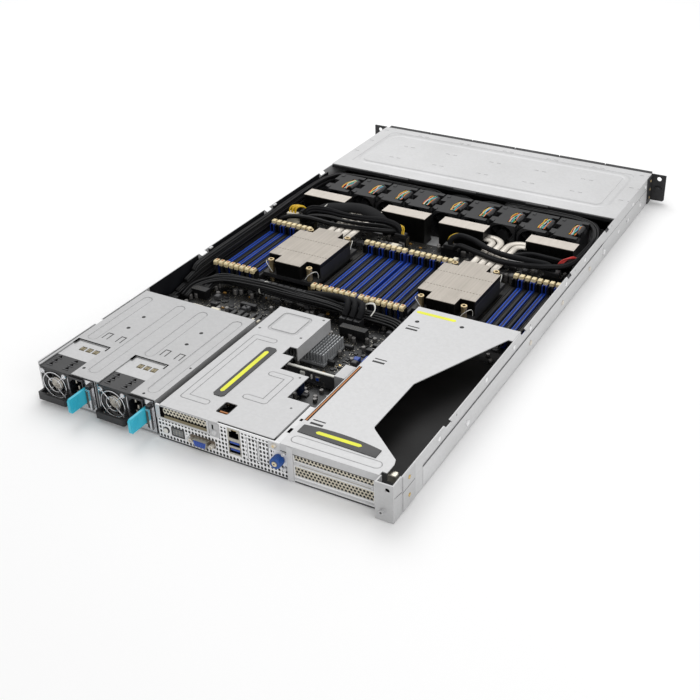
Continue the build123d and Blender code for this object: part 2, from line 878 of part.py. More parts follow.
def make_psu_guard(index):
    """Wire finger guard over the fan: a ring and two crossed bars."""
    x = psu_left_x[index] + psu_fan_x
    z = psu_bottom + psu_height / 2
    y0 = psu_rear_y - guard_wire
    ring = prism_y(x, z, y0, psu_rear_y, guard_ring_radius + guard_wire, guard_ring_sides)
    ring -= prism_y(x, z, y0 - 1, psu_rear_y + 1, guard_ring_radius, guard_ring_sides)
    for angle in (45, 135):
        bar = Box(2 * (guard_ring_radius + 2 * guard_wire), guard_wire, guard_wire)
        ring += Pos(x, psu_rear_y - guard_wire / 2, z) * Rot(0, angle, 0) * bar
    return ring


def make_psu_rotor(index):
    x = psu_left_x[index] + psu_fan_x
    z = psu_bottom + psu_height / 2
    start = psu_rear_y + psu_face_thickness + 1
    length = motor_bar_inset - 1 - seat_gap
    return make_rotor(x, z, start, psu_rotor_radius, rotor_hub_radius - 1, length, psu_rotor_blades)


def make_psu_latch(index):
    """Release tab: pushed sideways to free the supply."""
    tab = psu_left_x[index] + latch_x
    z0 = psu_bottom + latch_bottom
    z1 = z0 + latch_height
    corner = 2.0
    shape = [
        (-rear_reach, z0 + corner), (-rear_reach + corner, z0), (latch_pivot_y, z0),
        (latch_pivot_y, z1), (-rear_reach + corner, z1), (-rear_reach, z1 - corner),
    ]
    return side_profile(shape, tab, tab + latch_thickness)


# Rear panel and its ports
def make_rear_panel():
    y0 = panel_y
    y1 = panel_y + sheet
    panel = block(panel_left_x, panel_right_x, y0, y1, 0, panel_top)

    def window(x0, x1, z0, z1):
        return block(x0, x1, y0 - 1, y1 + 1, z0, z1)

    panel -= window(*mid_slot_x, *mid_slot_z)
    for low, high in right_slot_z:
        panel -= window(*right_slot_x, low, high)
    gap = seat_gap
    half = port_width / 2 + gap
    panel -= window(port_x - half, port_x + half, board_top - gap, port_top + gap)
    panel -= window(vga_x - 9 - gap, vga_x + 9 + gap, vga_z - 4.6 - gap, vga_z + 4.6 + gap)
    panel -= window(display_x[0] - gap, display_x[1] + gap, board_top - gap, display_top + gap)
    panel -= rod_y(button_x, button_z, y0 - 1, y1 + 1, button_radius + gap)
    panel -= rod_y(knob_x, knob_z, y0 - 1, y1 + 1, knob_shank_radius + running_fit)
    return panel


button_inner_y = panel_y + sheet + 2


def make_rear_ports():
    left = port_x - port_width / 2
    right = port_x + port_width / 2
    stack = block(left, right, panel_y, panel_y + port_depth, board_top, port_top)
    for z0, z1, wall in ((28.2, 38.4, 1.4), (18.6, 24.4, 0.8), (10.2, 16.0, 0.8)):
        stack -= block(left + wall, right - wall, panel_y - 1, panel_y + port_depth - 2, z0, z1)
    shell = [
        (vga_x - 7, vga_z - 4), (vga_x + 7, vga_z - 4),
        (vga_x + 8.6, vga_z + 4), (vga_x - 8.6, vga_z + 4),
    ]
    video = rear_profile(shell, panel_y - 6, panel_y + sheet + 0.5)
    video += block(
        vga_x - 15, vga_x + 15, panel_y + sheet + 0.5, panel_y + 12, board_top, vga_z + 6,
    )
    for side in (-1, 1):
        video += prism_y(vga_x + side * vga_post_spacing / 2, vga_z, panel_y - 5, panel_y, 2.6, 6)
    display = block(*display_x, panel_y - seat_gap, panel_y + 9, board_top, display_top)
    switch_rear = button_inner_y + button_travel + seat_gap
    switch = block(button_x - 3, button_x + 3, switch_rear, switch_rear + 4, board_top, button_z + 3)
    return group([stack, video, display, switch])


def make_slot_covers():
    """Blanking plates behind the slot windows."""
    y0 = panel_y + sheet
    slots = [(mid_slot_x, mid_slot_z)] + [(right_slot_x, z) for z in right_slot_z]
    return group(
        block(left - 2, right + 2, y0, y0 + sheet, low - 2, high + 2)
        for (left, right), (low, high) in slots
    )


def make_identify_button():
    return rod_y(button_x, button_z, panel_y - 1.8, button_inner_y, button_radius)


def make_thumbscrew():
    seat = panel_y - seat_gap
    knob = prism_y(knob_x, knob_z, seat - knob_length, seat, knob_radius, 16)
    knob += rod_y(knob_x, knob_z, seat, panel_y + 7, knob_shank_radius)
    return knob


# Riser cages
def make_mid_cover():
    """Stepped cover plate of the middle riser, with folded skirts."""
    top = wall_top
    low = wall_top - sheet
    left = mid_cover_left_x
    outline = [
        (left, panel_y - sheet), (mid_step_x, panel_y - sheet), (mid_step_x, 14.2),
        (mid_right_x, 14.2), (mid_right_x, 80.0), (55.8, 80.0), (55.8, 122.5), (20.0, 122.5),
        (20.0, 149.0), (5.7, 149.0), (5.7, 165.3), (mid_front_x, 165.3),
        (mid_front_x, mid_cover_front_y), (left, mid_cover_front_y),
    ]
    cover = plan(outline, low, top)
    cover += block(left, mid_step_x, panel_y - sheet, panel_y, top - riser_rear_flange, low)
    cover += block(left, left + sheet, board_step_y - 20, mid_cover_front_y, board_top, low)
    cover += block(mid_front_x - sheet, mid_front_x, 165.3, mid_cover_front_y, 26.0, low)
    cover += block(mid_right_x - sheet, mid_right_x, 20, 80.0, board_top, low)
    cover -= rounded_slab(5.1, 19.7, 26.6, 45.8, low - 1, top + 1, 2.0)
    rib = cut_corner_slab(-39.5, -1.8, 186.3, 227.1, top - rib_depth, top + 1, 4)
    rib -= cut_corner_slab(-36.5, -4.8, 189.3, 224.1, 0, top + 2, 3)
    return cover - rib


def make_right_cover():
    """Large plate of the right riser: straight skirts and a wide open side."""
    top = wall_top
    low = wall_top - sheet
    left = right_cover_left_x
    right = wall_inner - seat_gap
    end = right_cover_front_y
    rear_right = panel_right_x - 0.5
    outline = [
        (left, panel_y - sheet), (rear_right, panel_y - sheet), (rear_right, 16.8),
        (right - 13.75, 16.8), (right - 13.75, 31.1), (right - 15.95, 38.0), (161.5, 72.1),
        (159.4, 75.4), (159.4, 160.4), (right - 5.65, end - 22.6), (right, end - 22.6),
        (right, end), (left, end),
    ]
    cover = plan(outline, low, top)
    cover += block(left, rear_right, panel_y - sheet, panel_y, top - riser_rear_flange + 1.5, low)
    cover += block(left, left + sheet, 172, end, board_top, low)
    cover += block(left, right, end - sheet, end, cover_skirt_bottom, low)
    cover -= block(
        right_card_x - 0.5, right_card_x + card_thickness + 0.5,
        right_card_rear_y - card_slot_gap, right_card_front_y + card_slot_gap, low - 1, top + 1,
    )
    return cover


def make_riser_grips():
    """Black pull strips on the two riser covers."""
    long_grip = cut_corner_slab(-16.0, -2.6, 50.5, 153.5, wall_top, wall_top + grip_thickness, 2.5)
    left, right = 96.8, 184.4
    edge = [
        Line((left, 34.3), (right, 31.8)), Line((right, 31.8), (right, 44.0)),
        ThreePointArc((right, 44.0), ((left + right) / 2, 49.5), (left, 47.0)),
        Line((left, 47.0), (left, 34.3)),
    ]
    bowed_grip = Pos(0, 0, wall_top) * extrude(make_face(edge), grip_thickness)
    return group([long_grip, bowed_grip])


def make_riser_cards():
    """Upright riser boards with the sockets that take the cards."""
    mid = block(mid_card_x, mid_card_x + card_thickness, 22, 112, board_top, wall_top - sheet)
    mid_socket = block(mid_card_x - 11, mid_card_x, 30, 108, 25, 32)
    right = block(
        right_card_x, right_card_x + card_thickness,
        right_card_rear_y, right_card_front_y, board_top, wall_top,
    )
    sockets = [
        block(right_card_x + card_thickness, right_card_x + 13, 62, 152, z, z + 7) for z in (12, 28)
    ]
    return group([mid, mid_socket, right, *sockets])


def make_card_insulator():
    """Black sheet that keeps an add-in card off the mainboard, on small feet."""
    x0, x1, y0, y1 = right_card_x + 18, board_half_width - 0.5, 30.0, memory_rear_y - 18
    z = board_top + 2.5
    mat = block(x0, x1, y0, y1, z, z + 0.8)
    for x in (x0 + 6, x1 - 6):
        for y in (y0 + 8, (y0 + y1) / 2, y1 - 8):
            mat += block(x - 3, x + 3, y - 3, y + 3, board_top, z)
    return mat


# Cables: each route is a list of points, with round bends as wide as the runs allow
def cable(points, radius):
    """A tube of five-sided section along straight runs joined by tangent arcs."""
    route = [Vector(*point) for point in points]
    bends = []
    for before, corner, after in zip(route, route[1:], route[2:]):
        turn = (corner - before).get_angle(after - corner)
        shorter = min((corner - before).length, (after - corner).length)
        bends.append(0.45 * shorter / math.tan(math.radians(turn / 2)))
    path = FilletPolyline(*points, radius=bends)
    start = Plane(origin=route[0], z_dir=route[1] - route[0])
    return sweep(start * RegularPolygon(radius, 5), path=path)


def fan_lead(headers, middle):
    """A lead that leaves one plug upwards, crosses the board and drops into the other."""
    (x0, y0, _, _, height0), (x1, y1, _, _, height1) = headers
    plug0 = board_top + height0 + seat_gap
    plug1 = board_top + height1 + seat_gap
    ends = [(x0, y0, plug0), (x0, y0, fan_lead_z)], [(x1, y1, fan_lead_z), (x1, y1, plug1)]
    return cable([*ends[0], *middle, *ends[1]], fan_lead_radius)


def make_cables():
    """Two looms that lie on the board and two leads in front of the coolers."""
    loom_z = board_top + thick_loom_radius + seat_gap
    start_y = loom_header[1] + loom_header[3] / 2 + seat_gap
    end_y = loom_end_header[1] + loom_end_header[3] / 2 + seat_gap
    rear_loom = [
        (loom_header[0], start_y, loom_z), (loom_header[0], memory_rear_y - 15, loom_z),
        (loom_end_header[0], memory_rear_y - 18, loom_z), (loom_end_header[0], end_y, loom_z),
    ]
    wall_z = board_top + wall_loom_radius + seat_gap
    wall_x = wall_loom_radius + seat_gap - wall_inner
    wall_start = wall_header[1] + wall_header[3] / 2 + seat_gap
    wall_end = cage_rear_y - backplane_thickness - seat_gap
    wall_line = Line((wall_x, wall_start, wall_z), (wall_x, wall_end, wall_z))
    wall_plane = Plane(origin=wall_line @ 0, z_dir=wall_line % 0)
    wall_loom = extrude(wall_plane * RegularPolygon(wall_loom_radius, 6), wall_line.length)
    left_middle = [(-117, board_front_y - 21, fan_lead_z)]
    right_middle = [(110, board_front_y - 31, fan_lead_z)]
    return group([
        cable(rear_loom, thick_loom_radius), wall_loom,
        fan_lead(left_lead_headers, left_middle), fan_lead(right_lead_headers, right_middle),
    ])


def save(node, shape):
    """Move one node to the final frame and write it."""
    export_step(Pos(0, -middle_y, 0) * shape, os.path.join("parts", node + ".step"))


def main():
    os.makedirs("parts", exist_ok=True)
    save("chassis_tray", make_chassis_tray())
    save("bay_cover", make_bay_cover())
    save("rack_ears", group([make_rack_ear(), mirror(make_power_switch_ear(), Plane.YZ)]))
    save("power_button", mirror(make_power_button(), Plane.YZ))
    save("rear_bracket", make_rear_bracket())
    save("rail_studs", make_rail_studs())
    save("mainboard", make_mainboard())
    save("memory_sockets_blue", make_memory_sockets(True))
    save("memory_sockets_black", make_memory_sockets(False))
    save("memory_latches", make_memory_latches())
    save("cooler_fins", make_cooler_fins())
    save("cooler_pipes", make_cooler_pipes())
    save("cooler_screws", make_cooler_screws())
    save("chipset_cooler", make_chipset_cooler())
    save("fan_frames", group(make_fan_frame(index) for index in range(fan_count)))
    for index in range(fan_count):
        save(f"fan_rotor_{index + 1}", make_fan_rotor(index))
    save("drive_cage", make_drive_cage())
    save("drive_backplane", make_drive_backplane())
    for row in (0, 1):
        for column in range(bay_columns):
            save(f"drive_carrier_{row * bay_columns + column + 1}", make_drive_carrier(column, row))
    save("psu_cage", make_psu_cage())
    for index in range(2):
        save(f"psu_case_{index + 1}", make_psu_case(index))
        save(f"psu_face_{index + 1}", make_psu_face(index))
        save(f"psu_guard_{index + 1}", make_psu_guard(index))
        save(f"psu_rotor_{index + 1}", make_psu_rotor(index))
        save(f"psu_latch_{index + 1}", make_psu_latch(index))
    save("rear_panel", make_rear_panel())
    save("rear_ports", make_rear_ports())
    save("slot_covers", make_slot_covers())
    save("identify_button", make_identify_button())
    save("thumbscrew", make_thumbscrew())
    save("riser_mid_cover", make_mid_cover())
    save("riser_right_cover", make_right_cover())
    save("riser_grips", make_riser_grips())
    save("riser_cards", make_riser_cards())
    save("card_insulator", make_card_insulator())
    save("cables", make_cables())


main()
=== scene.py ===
"""Looks of an open one-unit rack server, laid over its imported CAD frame.

Lengths in the making functions are millimetres, with y counted from the outer face of
the rear rack bracket as in the part. place() turns them into the frame's metres.
"""
import math

import bpy
import numpy as np
from mathutils import Matrix, Vector


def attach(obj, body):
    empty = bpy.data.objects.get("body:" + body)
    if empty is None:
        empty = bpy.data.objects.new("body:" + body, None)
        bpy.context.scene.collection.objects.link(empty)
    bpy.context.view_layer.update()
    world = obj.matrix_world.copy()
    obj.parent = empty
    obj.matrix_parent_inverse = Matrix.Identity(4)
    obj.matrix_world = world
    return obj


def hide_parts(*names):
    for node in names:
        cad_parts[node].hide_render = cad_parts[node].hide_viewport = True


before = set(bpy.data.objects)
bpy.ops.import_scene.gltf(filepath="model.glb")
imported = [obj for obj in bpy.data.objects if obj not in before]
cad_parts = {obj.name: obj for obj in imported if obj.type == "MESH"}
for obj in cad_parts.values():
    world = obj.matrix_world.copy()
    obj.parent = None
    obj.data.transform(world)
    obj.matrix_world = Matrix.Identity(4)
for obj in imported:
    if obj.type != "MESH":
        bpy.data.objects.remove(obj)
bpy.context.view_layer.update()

MM = 0.001
MIDDLE_Y = 406.25
CHASSIS = "chassis"
# heights of the mainboard's and the riser covers' top faces, half width of the outer walls
BOARD_TOP = 8.5
COVER_TOP = 42.2
WALL_X = 219.75
# the rear panel's face, and the port stack in it
PANEL_Y = 12.0
STACK_X, STACK_HALF = 36.4, 7.3
# the two processor coolers, and the remote fin blocks in front of them
COOLER_X = (-105.6, 106.3)
COOLER_Y, COOLER_HALF = 388.0, 38.0
COOLER_REAR, COOLER_FRONT = 334.0, 442.0
REMOTE_OFFSET, REMOTE_HALF = 62.5, 33.0
REMOTE_REAR, REMOTE_FRONT = 528.0, 549.5
FIN_TOP = 40.5
PIPE_LEVEL = 27.0
# left side, underside and rear face of the two power supplies
PSU_LEFT = (-215.2, -136.0)
PSU_BOTTOM = 1.3
PSU_REAR = 14.0
FAN_X = [-169.0 + 42.8 * i for i in range(9)]
# memory sockets in four banks: first middle, direction, and whether the first one is blue
SOCKET_PITCH = 7.95
MEMORY_BANKS = ((-203.0, 1, True), (-1.9, -1, True), (8.6, 1, True), (154.2, 1, False))
# pressings of the covers: rows of lances, a frame (left, right, rear, front, corner, width), a long bar
LANCE_ROWS = (700.5, 748.6, 799.0)
MID_FRAME = (-38, -3.3, 187.8, 225.6, 4.5, 3.0)
RIGHT_PRESSING = (17.5, 29.5, 97.0, 196.0)
GOLDEN_ANGLE = 2.39996


def tone(red, green, blue):
    """A display colour of 0 to 255 as linear light: c / 12.92 low down, else ((c + 0.055) / 1.055) ** 2.4."""
    c = np.array([red, green, blue]) / 255
    return tuple(np.where(c < 0.04045, c / 12.92, ((c + 0.055) / 1.055) ** 2.4)) + (1.0,)


# Shader values as arithmetic
class Field:
    """A shader number that adds its own Math nodes when it is used in an expression."""

    def __init__(self, finish, socket):
        self.finish = finish
        self.socket = socket

    def math(self, operation, *others):
        return self.finish.node("Math", {"operation": operation}, self, *others)

    def __add__(self, other):
        return self.math("ADD", other)

    __radd__ = __add__

    def __sub__(self, other):
        return self.math("SUBTRACT", other)

    def __rsub__(self, other):
        return self.finish.node("Math", {"operation": "SUBTRACT"}, other, self)

    def __mul__(self, other):
        return self.math("MULTIPLY", other)

    __rmul__ = __mul__

    def __truediv__(self, other):
        return self.math("DIVIDE", other)

    def __pow__(self, other):
        return self.math("POWER", other)

    def above(self, limit):
        return self.math("GREATER_THAN", limit)

    def below(self, limit):
        return self.math("LESS_THAN", limit)

    def between(self, low, high):
        return self.above(low) * self.below(high)

    def fract(self):
        return self.math("FRACT")

    def size(self):
        return self.math("ABSOLUTE")

    def most(self, other):
        return self.math("MAXIMUM", other)

    def least(self, other):
        return self.math("MINIMUM", other)

    def ramp(self, low, high):
        """0 at low and 1 at high, straight between and level outside."""
        return ((self - low) / (high - low)).most(0.0).least(1.0)


class Finish:
    """One material: a Principled shader, and the nodes that vary over the surface."""

    def __init__(self, name, **constants):
        self.material = bpy.data.materials.new(name)
        self.material.use_nodes = True
        self.tree = self.material.node_tree
        self.shader = self.tree.nodes["Principled BSDF"]
        for key, value in constants.items():
            self.shader.inputs[key.replace("_", " ")].default_value = value

    def node(self, kind, settings, *values, out=0, **named):
        """Adds a node of that type with its settings, then its sockets in order or by name."""
        made = self.tree.nodes.new("ShaderNode" + kind)
        for key, value in settings.items():
            setattr(made, key, value)
        pairs = [(made.inputs[i], v) for i, v in enumerate(values) if v is not None]
        pairs += [(made.inputs[key.replace("_", " ")], v) for key, v in named.items()]
        for socket, value in pairs:
            self.feed(socket, value)
        return Field(self, made.outputs[out])

    def feed(self, socket, value):
        if isinstance(value, Field):
            self.tree.links.new(value.socket, socket)
        else:
            socket.default_value = value

    def place(self):
        return self.node("TexCoord", {}, out=3)

    def axes(self):
        """x, y and z in millimetres, y from the rear bracket's face."""
        split = self.node("SeparateXYZ", {}, self.place())
        x, y, z = (Field(self, split.socket.node.outputs[i]) for i in range(3))
        return x * 1000.0, y * 1000.0 + MIDDLE_Y, z * 1000.0

    def noise(self, per_mm, detail=2.0):
        return self.node("TexNoise", {}, Vector=self.place(), Scale=per_mm * 1000.0, Detail=detail)

    def grain(self, per_mm, stretch):
        """Noise drawn out along one axis, as rolling or brushing leaves it."""
        drawn = self.node("Mapping", {}, Vector=self.place(), Scale=stretch)
        return self.node("TexNoise", {}, Vector=drawn, Scale=per_mm * 1000.0, Detail=3.0)

    def cells(self, per_mm):
        """The random colour of each cell."""
        return self.node("TexVoronoi", {}, Vector=self.place(), Scale=per_mm * 1000.0, out=1)

    def mix(self, share, first, second):
        made = self.tree.nodes.new("ShaderNodeMix")
        made.data_type = "RGBA"
        for index, value in ((0, share), (6, first), (7, second)):
            self.feed(made.inputs[index], value)
        return Field(self, made.outputs[2])

    def colour(self, value):
        self.feed(self.shader.inputs["Base Color"], value)
        return self

    def rough(self, value):
        self.feed(self.shader.inputs["Roughness"], value)
        return self

    def bump(self, height, depth_mm, strength=1.0):
        made = self.node("Bump", {}, Strength=strength, Distance=depth_mm * MM, Height=height)
        self.feed(self.shader.inputs["Normal"], made)
        return self


def rounded_ridge(x, y, left, right, rear, front, corner, width):
    """1 on a line of that width round a rounded rectangle: distance = |max(|p| - half, 0)| - corner."""
    dx = ((x - (left + right) / 2).size() - ((right - left) / 2 - corner)).most(0.0)
    dy = ((y - (rear + front) / 2).size() - ((front - rear) / 2 - corner)).most(0.0)
    off = ((dx * dx + dy * dy) ** 0.5 - corner).size()
    return 1.0 - off.ramp(width * 0.3, width * 0.8)


def stadium(x, y, left, right, rear, front):
    """1 inside a long round-ended pressing and 0 outside, with a soft edge."""
    corner = (right - left) / 2
    dx = (x - (left + right) / 2).size()
    dy = ((y - (rear + front) / 2).size() - ((front - rear) / 2 - corner)).most(0.0)
    return 1.0 - ((dx * dx + dy * dy) ** 0.5).ramp(corner - 1.2, corner)


def disc(x, y, centre_x, centre_y, radius):
    """1 inside a circle."""
    dx = x - centre_x
    dy = y - centre_y
    return (dx * dx + dy * dy).below(radius * radius)


def dots(u, v, places):
    """1 inside any of the circles (u, v, radius)."""
    return sum((disc(u, v, *place) for place in places), u * 0.0)


def edge_of(pressing):
    """1 half way up the soft edge of a pressing, 0 on it and off it."""
    return 1.0 - (pressing * 2.0 - 1.0).size()


def zinc_sheet(name, level, ridges=None, holes=None, crease_shade=None, metallic=0.3):
    """Zinc-coated steel: mottled spangle, faint rolling grain and soft smudges; painted shade darkens it
    along the crease lines and fills its holes near black.
    """
    f = Finish(name, Metallic=metallic)
    x, y, z = f.axes()
    spangle = f.cells(0.35)
    smudge = f.noise(0.012, 3.0)
    shade = smudge * 0.7 + f.node("SeparateColor", {}, spangle) * 0.2 + 0.05
    surface = f.mix(shade, tone(level - 14, level - 14, level - 14), tone(level + 9, level + 9, level + 10))
    height = f.grain(0.6, (1.0, 0.05, 1.0)) * 0.1
    if crease_shade:
        # painted shade: darker along the edges of the pressings
        surface = f.mix(crease_shade(f, x, y, z) * 0.45, surface, tone(level - 70, level - 70, level - 68))
    if holes:
        # painted shade: holes, slits and vents painted near black
        surface = f.mix(holes(f, x, y, z), surface, tone(18, 18, 19))
    if ridges:
        height = height + ridges(f, x, y, z)
    f.colour(surface).rough(smudge * 0.14 + 0.42).bump(height, 0.5)
    return f.material


def moulded(name, colour, rough=0.45, speck=0.25, metallic=0.0, shine=0.5):
    """Moulded plastic or paint: slight colour drift and a fine orange-peel bump."""
    f = Finish(name, Metallic=metallic, Specular_IOR_Level=shine)
    drift = f.noise(0.05, 3.0)
    dark = tuple(c * 0.72 for c in colour[:3]) + (1.0,)
    light = tuple(min(1.0, c * 1.18 + 0.004) for c in colour[:3]) + (1.0,)
    f.colour(f.mix(drift, dark, light)).rough(drift * 0.2 + (rough - 0.1))
    return f.bump(f.noise(2.2, 2.0), 0.03, speck).material


def bright_metal(name, colour, rough):
    """Plated metal with drawn grain."""
    f = Finish(name, Metallic=0.9)
    drawn = f.grain(1.2, (1.0, 0.1, 1.0))
    soft = f.noise(0.04)
    low = tuple(c * 0.8 for c in colour[:3]) + (1.0,)
    f.colour(f.mix(drawn * 0.5 + soft * 0.5, low, colour)).rough(soft * 0.15 + (rough - 0.07))
    return f.bump(drawn, 0.02, 0.5).material


def circuit_board(name):
    """Black laminate with fine tracks, pale vias and a soft lacquer."""
    f = Finish(name, Coat_Weight=0.1, Coat_Roughness=0.35, Specular_IOR_Level=0.3)
    x, y, _ = f.axes()
    patch = f.noise(0.018, 1.0)
    along = ((x * 0.62).fract()).below(0.3)
    across = ((y * 0.62).fract()).below(0.3)
    track = patch.above(0.52) * along + patch.below(0.46) * across
    via_x = (x * 0.31).fract() - 0.5
    via_y = (y * 0.31 + 0.2).fract() - 0.5
    via = (via_x * via_x + via_y * via_y).below(0.011) * f.noise(0.06, 0.0).above(0.5)
    base = f.mix(track * 0.6, tone(16, 16, 17), tone(38, 39, 40))
    f.colour(f.mix(via, base, tone(128, 118, 92))).rough(patch * 0.2 + 0.32)
    return f.bump(track + via, 0.04, 0.6).material


def perforated(name, pitch, hole, level):
    """Thin sheet with staggered rows of round holes, painted near black inside as painted shade."""
    f = Finish(name, Metallic=0.4)
    x, _, z = f.axes()
    row = z / (pitch * 0.87)
    u = ((x / pitch + row.math("FLOOR") * 0.5).fract() - 0.5) * pitch
    v = (row.fract() - 0.5) * (pitch * 0.87)
    off = (u * u + v * v) ** 0.5
    inside = 1.0 - off.ramp(hole / 2 - 0.15, hole / 2 + 0.1)
    speck = f.noise(0.05)
    metal = f.mix(speck, tone(level - 14, level - 22, level - 42), tone(level + 8, level + 2, level - 14))
    # painted shade: near black inside each hole
    f.colour(f.mix(inside, metal, tone(20, 18, 15))).rough(speck * 0.1 + 0.36)
    return f.bump(1.0 - inside, 0.5).material


def braided_sleeve(name):
    """Woven sleeve on a tube's own UV: two families of strands that cross."""
    colour, strands, pitch = (17, 17, 19), 14.0, 0.9
    f = Finish(name, Specular_IOR_Level=0.15)
    uv = f.node("SeparateXYZ", {}, f.node("UVMap", {"uv_map": "run"}))
    around = Field(f, uv.socket.node.outputs[0])
    along = Field(f, uv.socket.node.outputs[1])
    one = ((around * strands + along / pitch).fract() - 0.5).size()
    two = ((around * strands - along / pitch).fract() - 0.5).size()
    weave = one.most(two)
    dark = tone(*(c * 0.2 for c in colour))
    pale = tone(*(c * 1.5 + 4 for c in colour))
    f.colour(f.mix(weave.ramp(0.2, 0.5), dark, pale)).rough(weave * 0.2 + 0.55)
    return f.bump(weave, 0.25, 0.8).material


def painted_lead(name, colour, rough=0.3, shine=0.5):
    """Insulated single lead, with slow colour change along its UV."""
    f = Finish(name, Specular_IOR_Level=shine)
    uv = f.node("UVMap", {"uv_map": "run"})
    drift = f.node("TexNoise", {}, Vector=uv, Scale=0.4)
    dark = tone(*(c * 0.75 for c in colour))
    f.colour(f.mix(drift, dark, tone(*colour))).rough(drift * 0.2 + rough)
    return f.bump(drift, 0.05, 0.4).material


# Surfaces as whole arrays
def place(points):
    """Millimetres from the bracket face into the frame's metres."""
    return (np.asarray(points, float).reshape(-1, 3) - (0.0, MIDDLE_Y, 0.0)) * MM


def put(name, points, faces, material, body=CHASSIS, smooth=False, uv=None, slot=None):
    """Makes one piece from points in millimetres and lists of corner numbers, and lets it ride on a body."""
    mesh = bpy.data.meshes.new(name)
    mesh.from_pydata(place(points).tolist(), [], [list(map(int, face)) for face in faces])
    mesh.materials.append(material)
    if smooth:
        mesh.polygons.foreach_set("use_smooth", np.ones(len(mesh.polygons), bool))
    if uv is not None:
        corners = np.empty(len(mesh.loops), np.int32)
        mesh.loops.foreach_get("vertex_index", corners)
        layer = mesh.uv_layers.new(name="run")
        layer.data.foreach_set("uv", np.asarray(uv, np.float32)[corners].ravel())
    mesh.validate()
    mesh.update()
    obj = bpy.data.objects.new(name, mesh)
    bpy.context.scene.collection.objects.link(obj)
    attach(obj, body)
    return obj


def ring_faces(rings, sides, closed_run=False):
    """Quads between neighbouring closed rings of points, ring by ring."""
    r = np.arange(rings if closed_run else rings - 1)[:, None]
    s = np.arange(sides)[None, :]
    a = r * sides + s
    b = r * sides + (s + 1) % sides
    up = (r + 1) % rings * sides
    return np.stack([a, b, up + (s + 1) % sides, up + s], -1).reshape(-1, 4)


def capped_rings(rings, sides):
    """Quads between the rings, and one face across the first ring and one across the last."""
    last = (rings - 1) * sides
    return ring_faces(rings, sides).tolist() + [list(range(sides))[::-1], [last + i for i in range(sides)]]


def repeat(points, faces, shifts):
    """One shape copied to every shift as a single list of points and faces."""
    points = np.asarray(points, float)
    shifts = np.asarray(shifts, float).reshape(-1, 3)
    many = (points[None] + shifts[:, None]).reshape(-1, 3)
    steps = np.arange(len(shifts)) * len(points)
    return many, [[int(c) + int(s) for c in face] for s in steps for face in faces]


def join(*shapes):
    """Several (points, faces) lists as one."""
    points, faces, start = [], [], 0
    for some, corners in shapes:
        points.append(np.asarray(some, float).reshape(-1, 3))
        faces += [[int(c) + start for c in face] for face in corners]
        start += len(points[-1])
    return np.concatenate(points), faces


def blocks(boxes, cut=0.0):
    """Upright blocks, one row (x0, x1, y0, y1, z0, z1) each; cut draws the top in and down as a chamfer."""
    b = np.asarray(boxes, float).reshape(-1, 6)
    corner = np.array([[0, 0], [1, 0], [1, 1], [0, 1]])
    low, high = b[:, None, [0, 2]], b[:, None, [1, 3]]
    flat = low + (high - low) * corner[None]
    inward = np.where(corner == 0, 1.0, -1.0)[None] * cut
    z = b[:, [4, 5, 5]] - np.array([0, cut, 0])
    level = [np.repeat(z[:, None, [i]], 4, 1) for i in range(3)]
    rings = [np.concatenate([flat + (inward if i == 2 else 0), level[i]], -1) for i in range(3)]
    one = capped_rings(3, 4)
    return np.stack(rings, 1).reshape(-1, 3), [
        [c + 12 * n for c in face] for n in range(len(b)) for face in one
    ]


def turned(centres, profile, sides=16, axis="z"):
    """Round pieces: a profile of (radius, height) pairs carried round an axis at each centre."""
    profile = np.asarray(profile, float)
    angle = np.arange(sides) * 2 * math.pi / sides
    r = profile[:, 0][:, None]
    ring = np.stack([r * np.cos(angle), r * np.sin(angle), np.repeat(profile[:, 1][:, None], sides, 1)], -1)
    if axis == "y":
        ring = np.stack([ring[..., 0], ring[..., 2], -ring[..., 1]], -1)
    if axis == "x":
        ring = ring[..., [2, 0, 1]]
    return repeat(ring.reshape(-1, 3), capped_rings(len(profile), sides), centres)


def extruded(outline, start, end, axis):
    """An outline of (u, v) points, anticlockwise seen from the axis's far end, carried along x, y or z."""
    outline = np.asarray(outline, float)
    n = len(outline)
    order = {"x": (2, 0, 1), "y": (1, 2, 0), "z": (0, 1, 2)}[axis]
    rings = [np.concatenate([outline, np.full((n, 1), value)], 1) for value in (start, end)]
    return np.concatenate(rings)[:, order], capped_rings(2, n)


def smooth_route(route, steps=8):
    """A Catmull-Rom curve through the route's points, as one array."""
    p = np.asarray(route, float)
    p = np.concatenate([[2 * p[0] - p[1]], p, [2 * p[-1] - p[-2]]])
    t = np.linspace(0, 1, steps, endpoint=False)[None, :, None]
    a, b, c, d = (p[i:len(p) - 3 + i, None] for i in range(4))
    square, cube = 2 * a - 5 * b + 4 * c - d, 3 * b - a - 3 * c + d
    curve = 0.5 * (2 * b + (c - a) * t + square * t ** 2 + cube * t ** 3)
    return np.concatenate([curve.reshape(-1, 3), p[-2:-1]])


def run_along(path):
    """The length of the path up to each of its points."""
    return np.concatenate([[0], np.cumsum(np.linalg.norm(np.diff(path, axis=0), axis=1))])


def across(path, along, steep):
    """Two unit directions across a path: side in the flattest plane through it, and up across that plane."""
    along = along / np.linalg.norm(along, axis=1, keepdims=True)
    flat = np.linalg.svd(path - path.mean(0))[2][2]
    side = np.cross(along, -flat if flat[2] < -steep else flat)
    side /= np.linalg.norm(side, axis=1, keepdims=True)
    return side, np.cross(side, along)


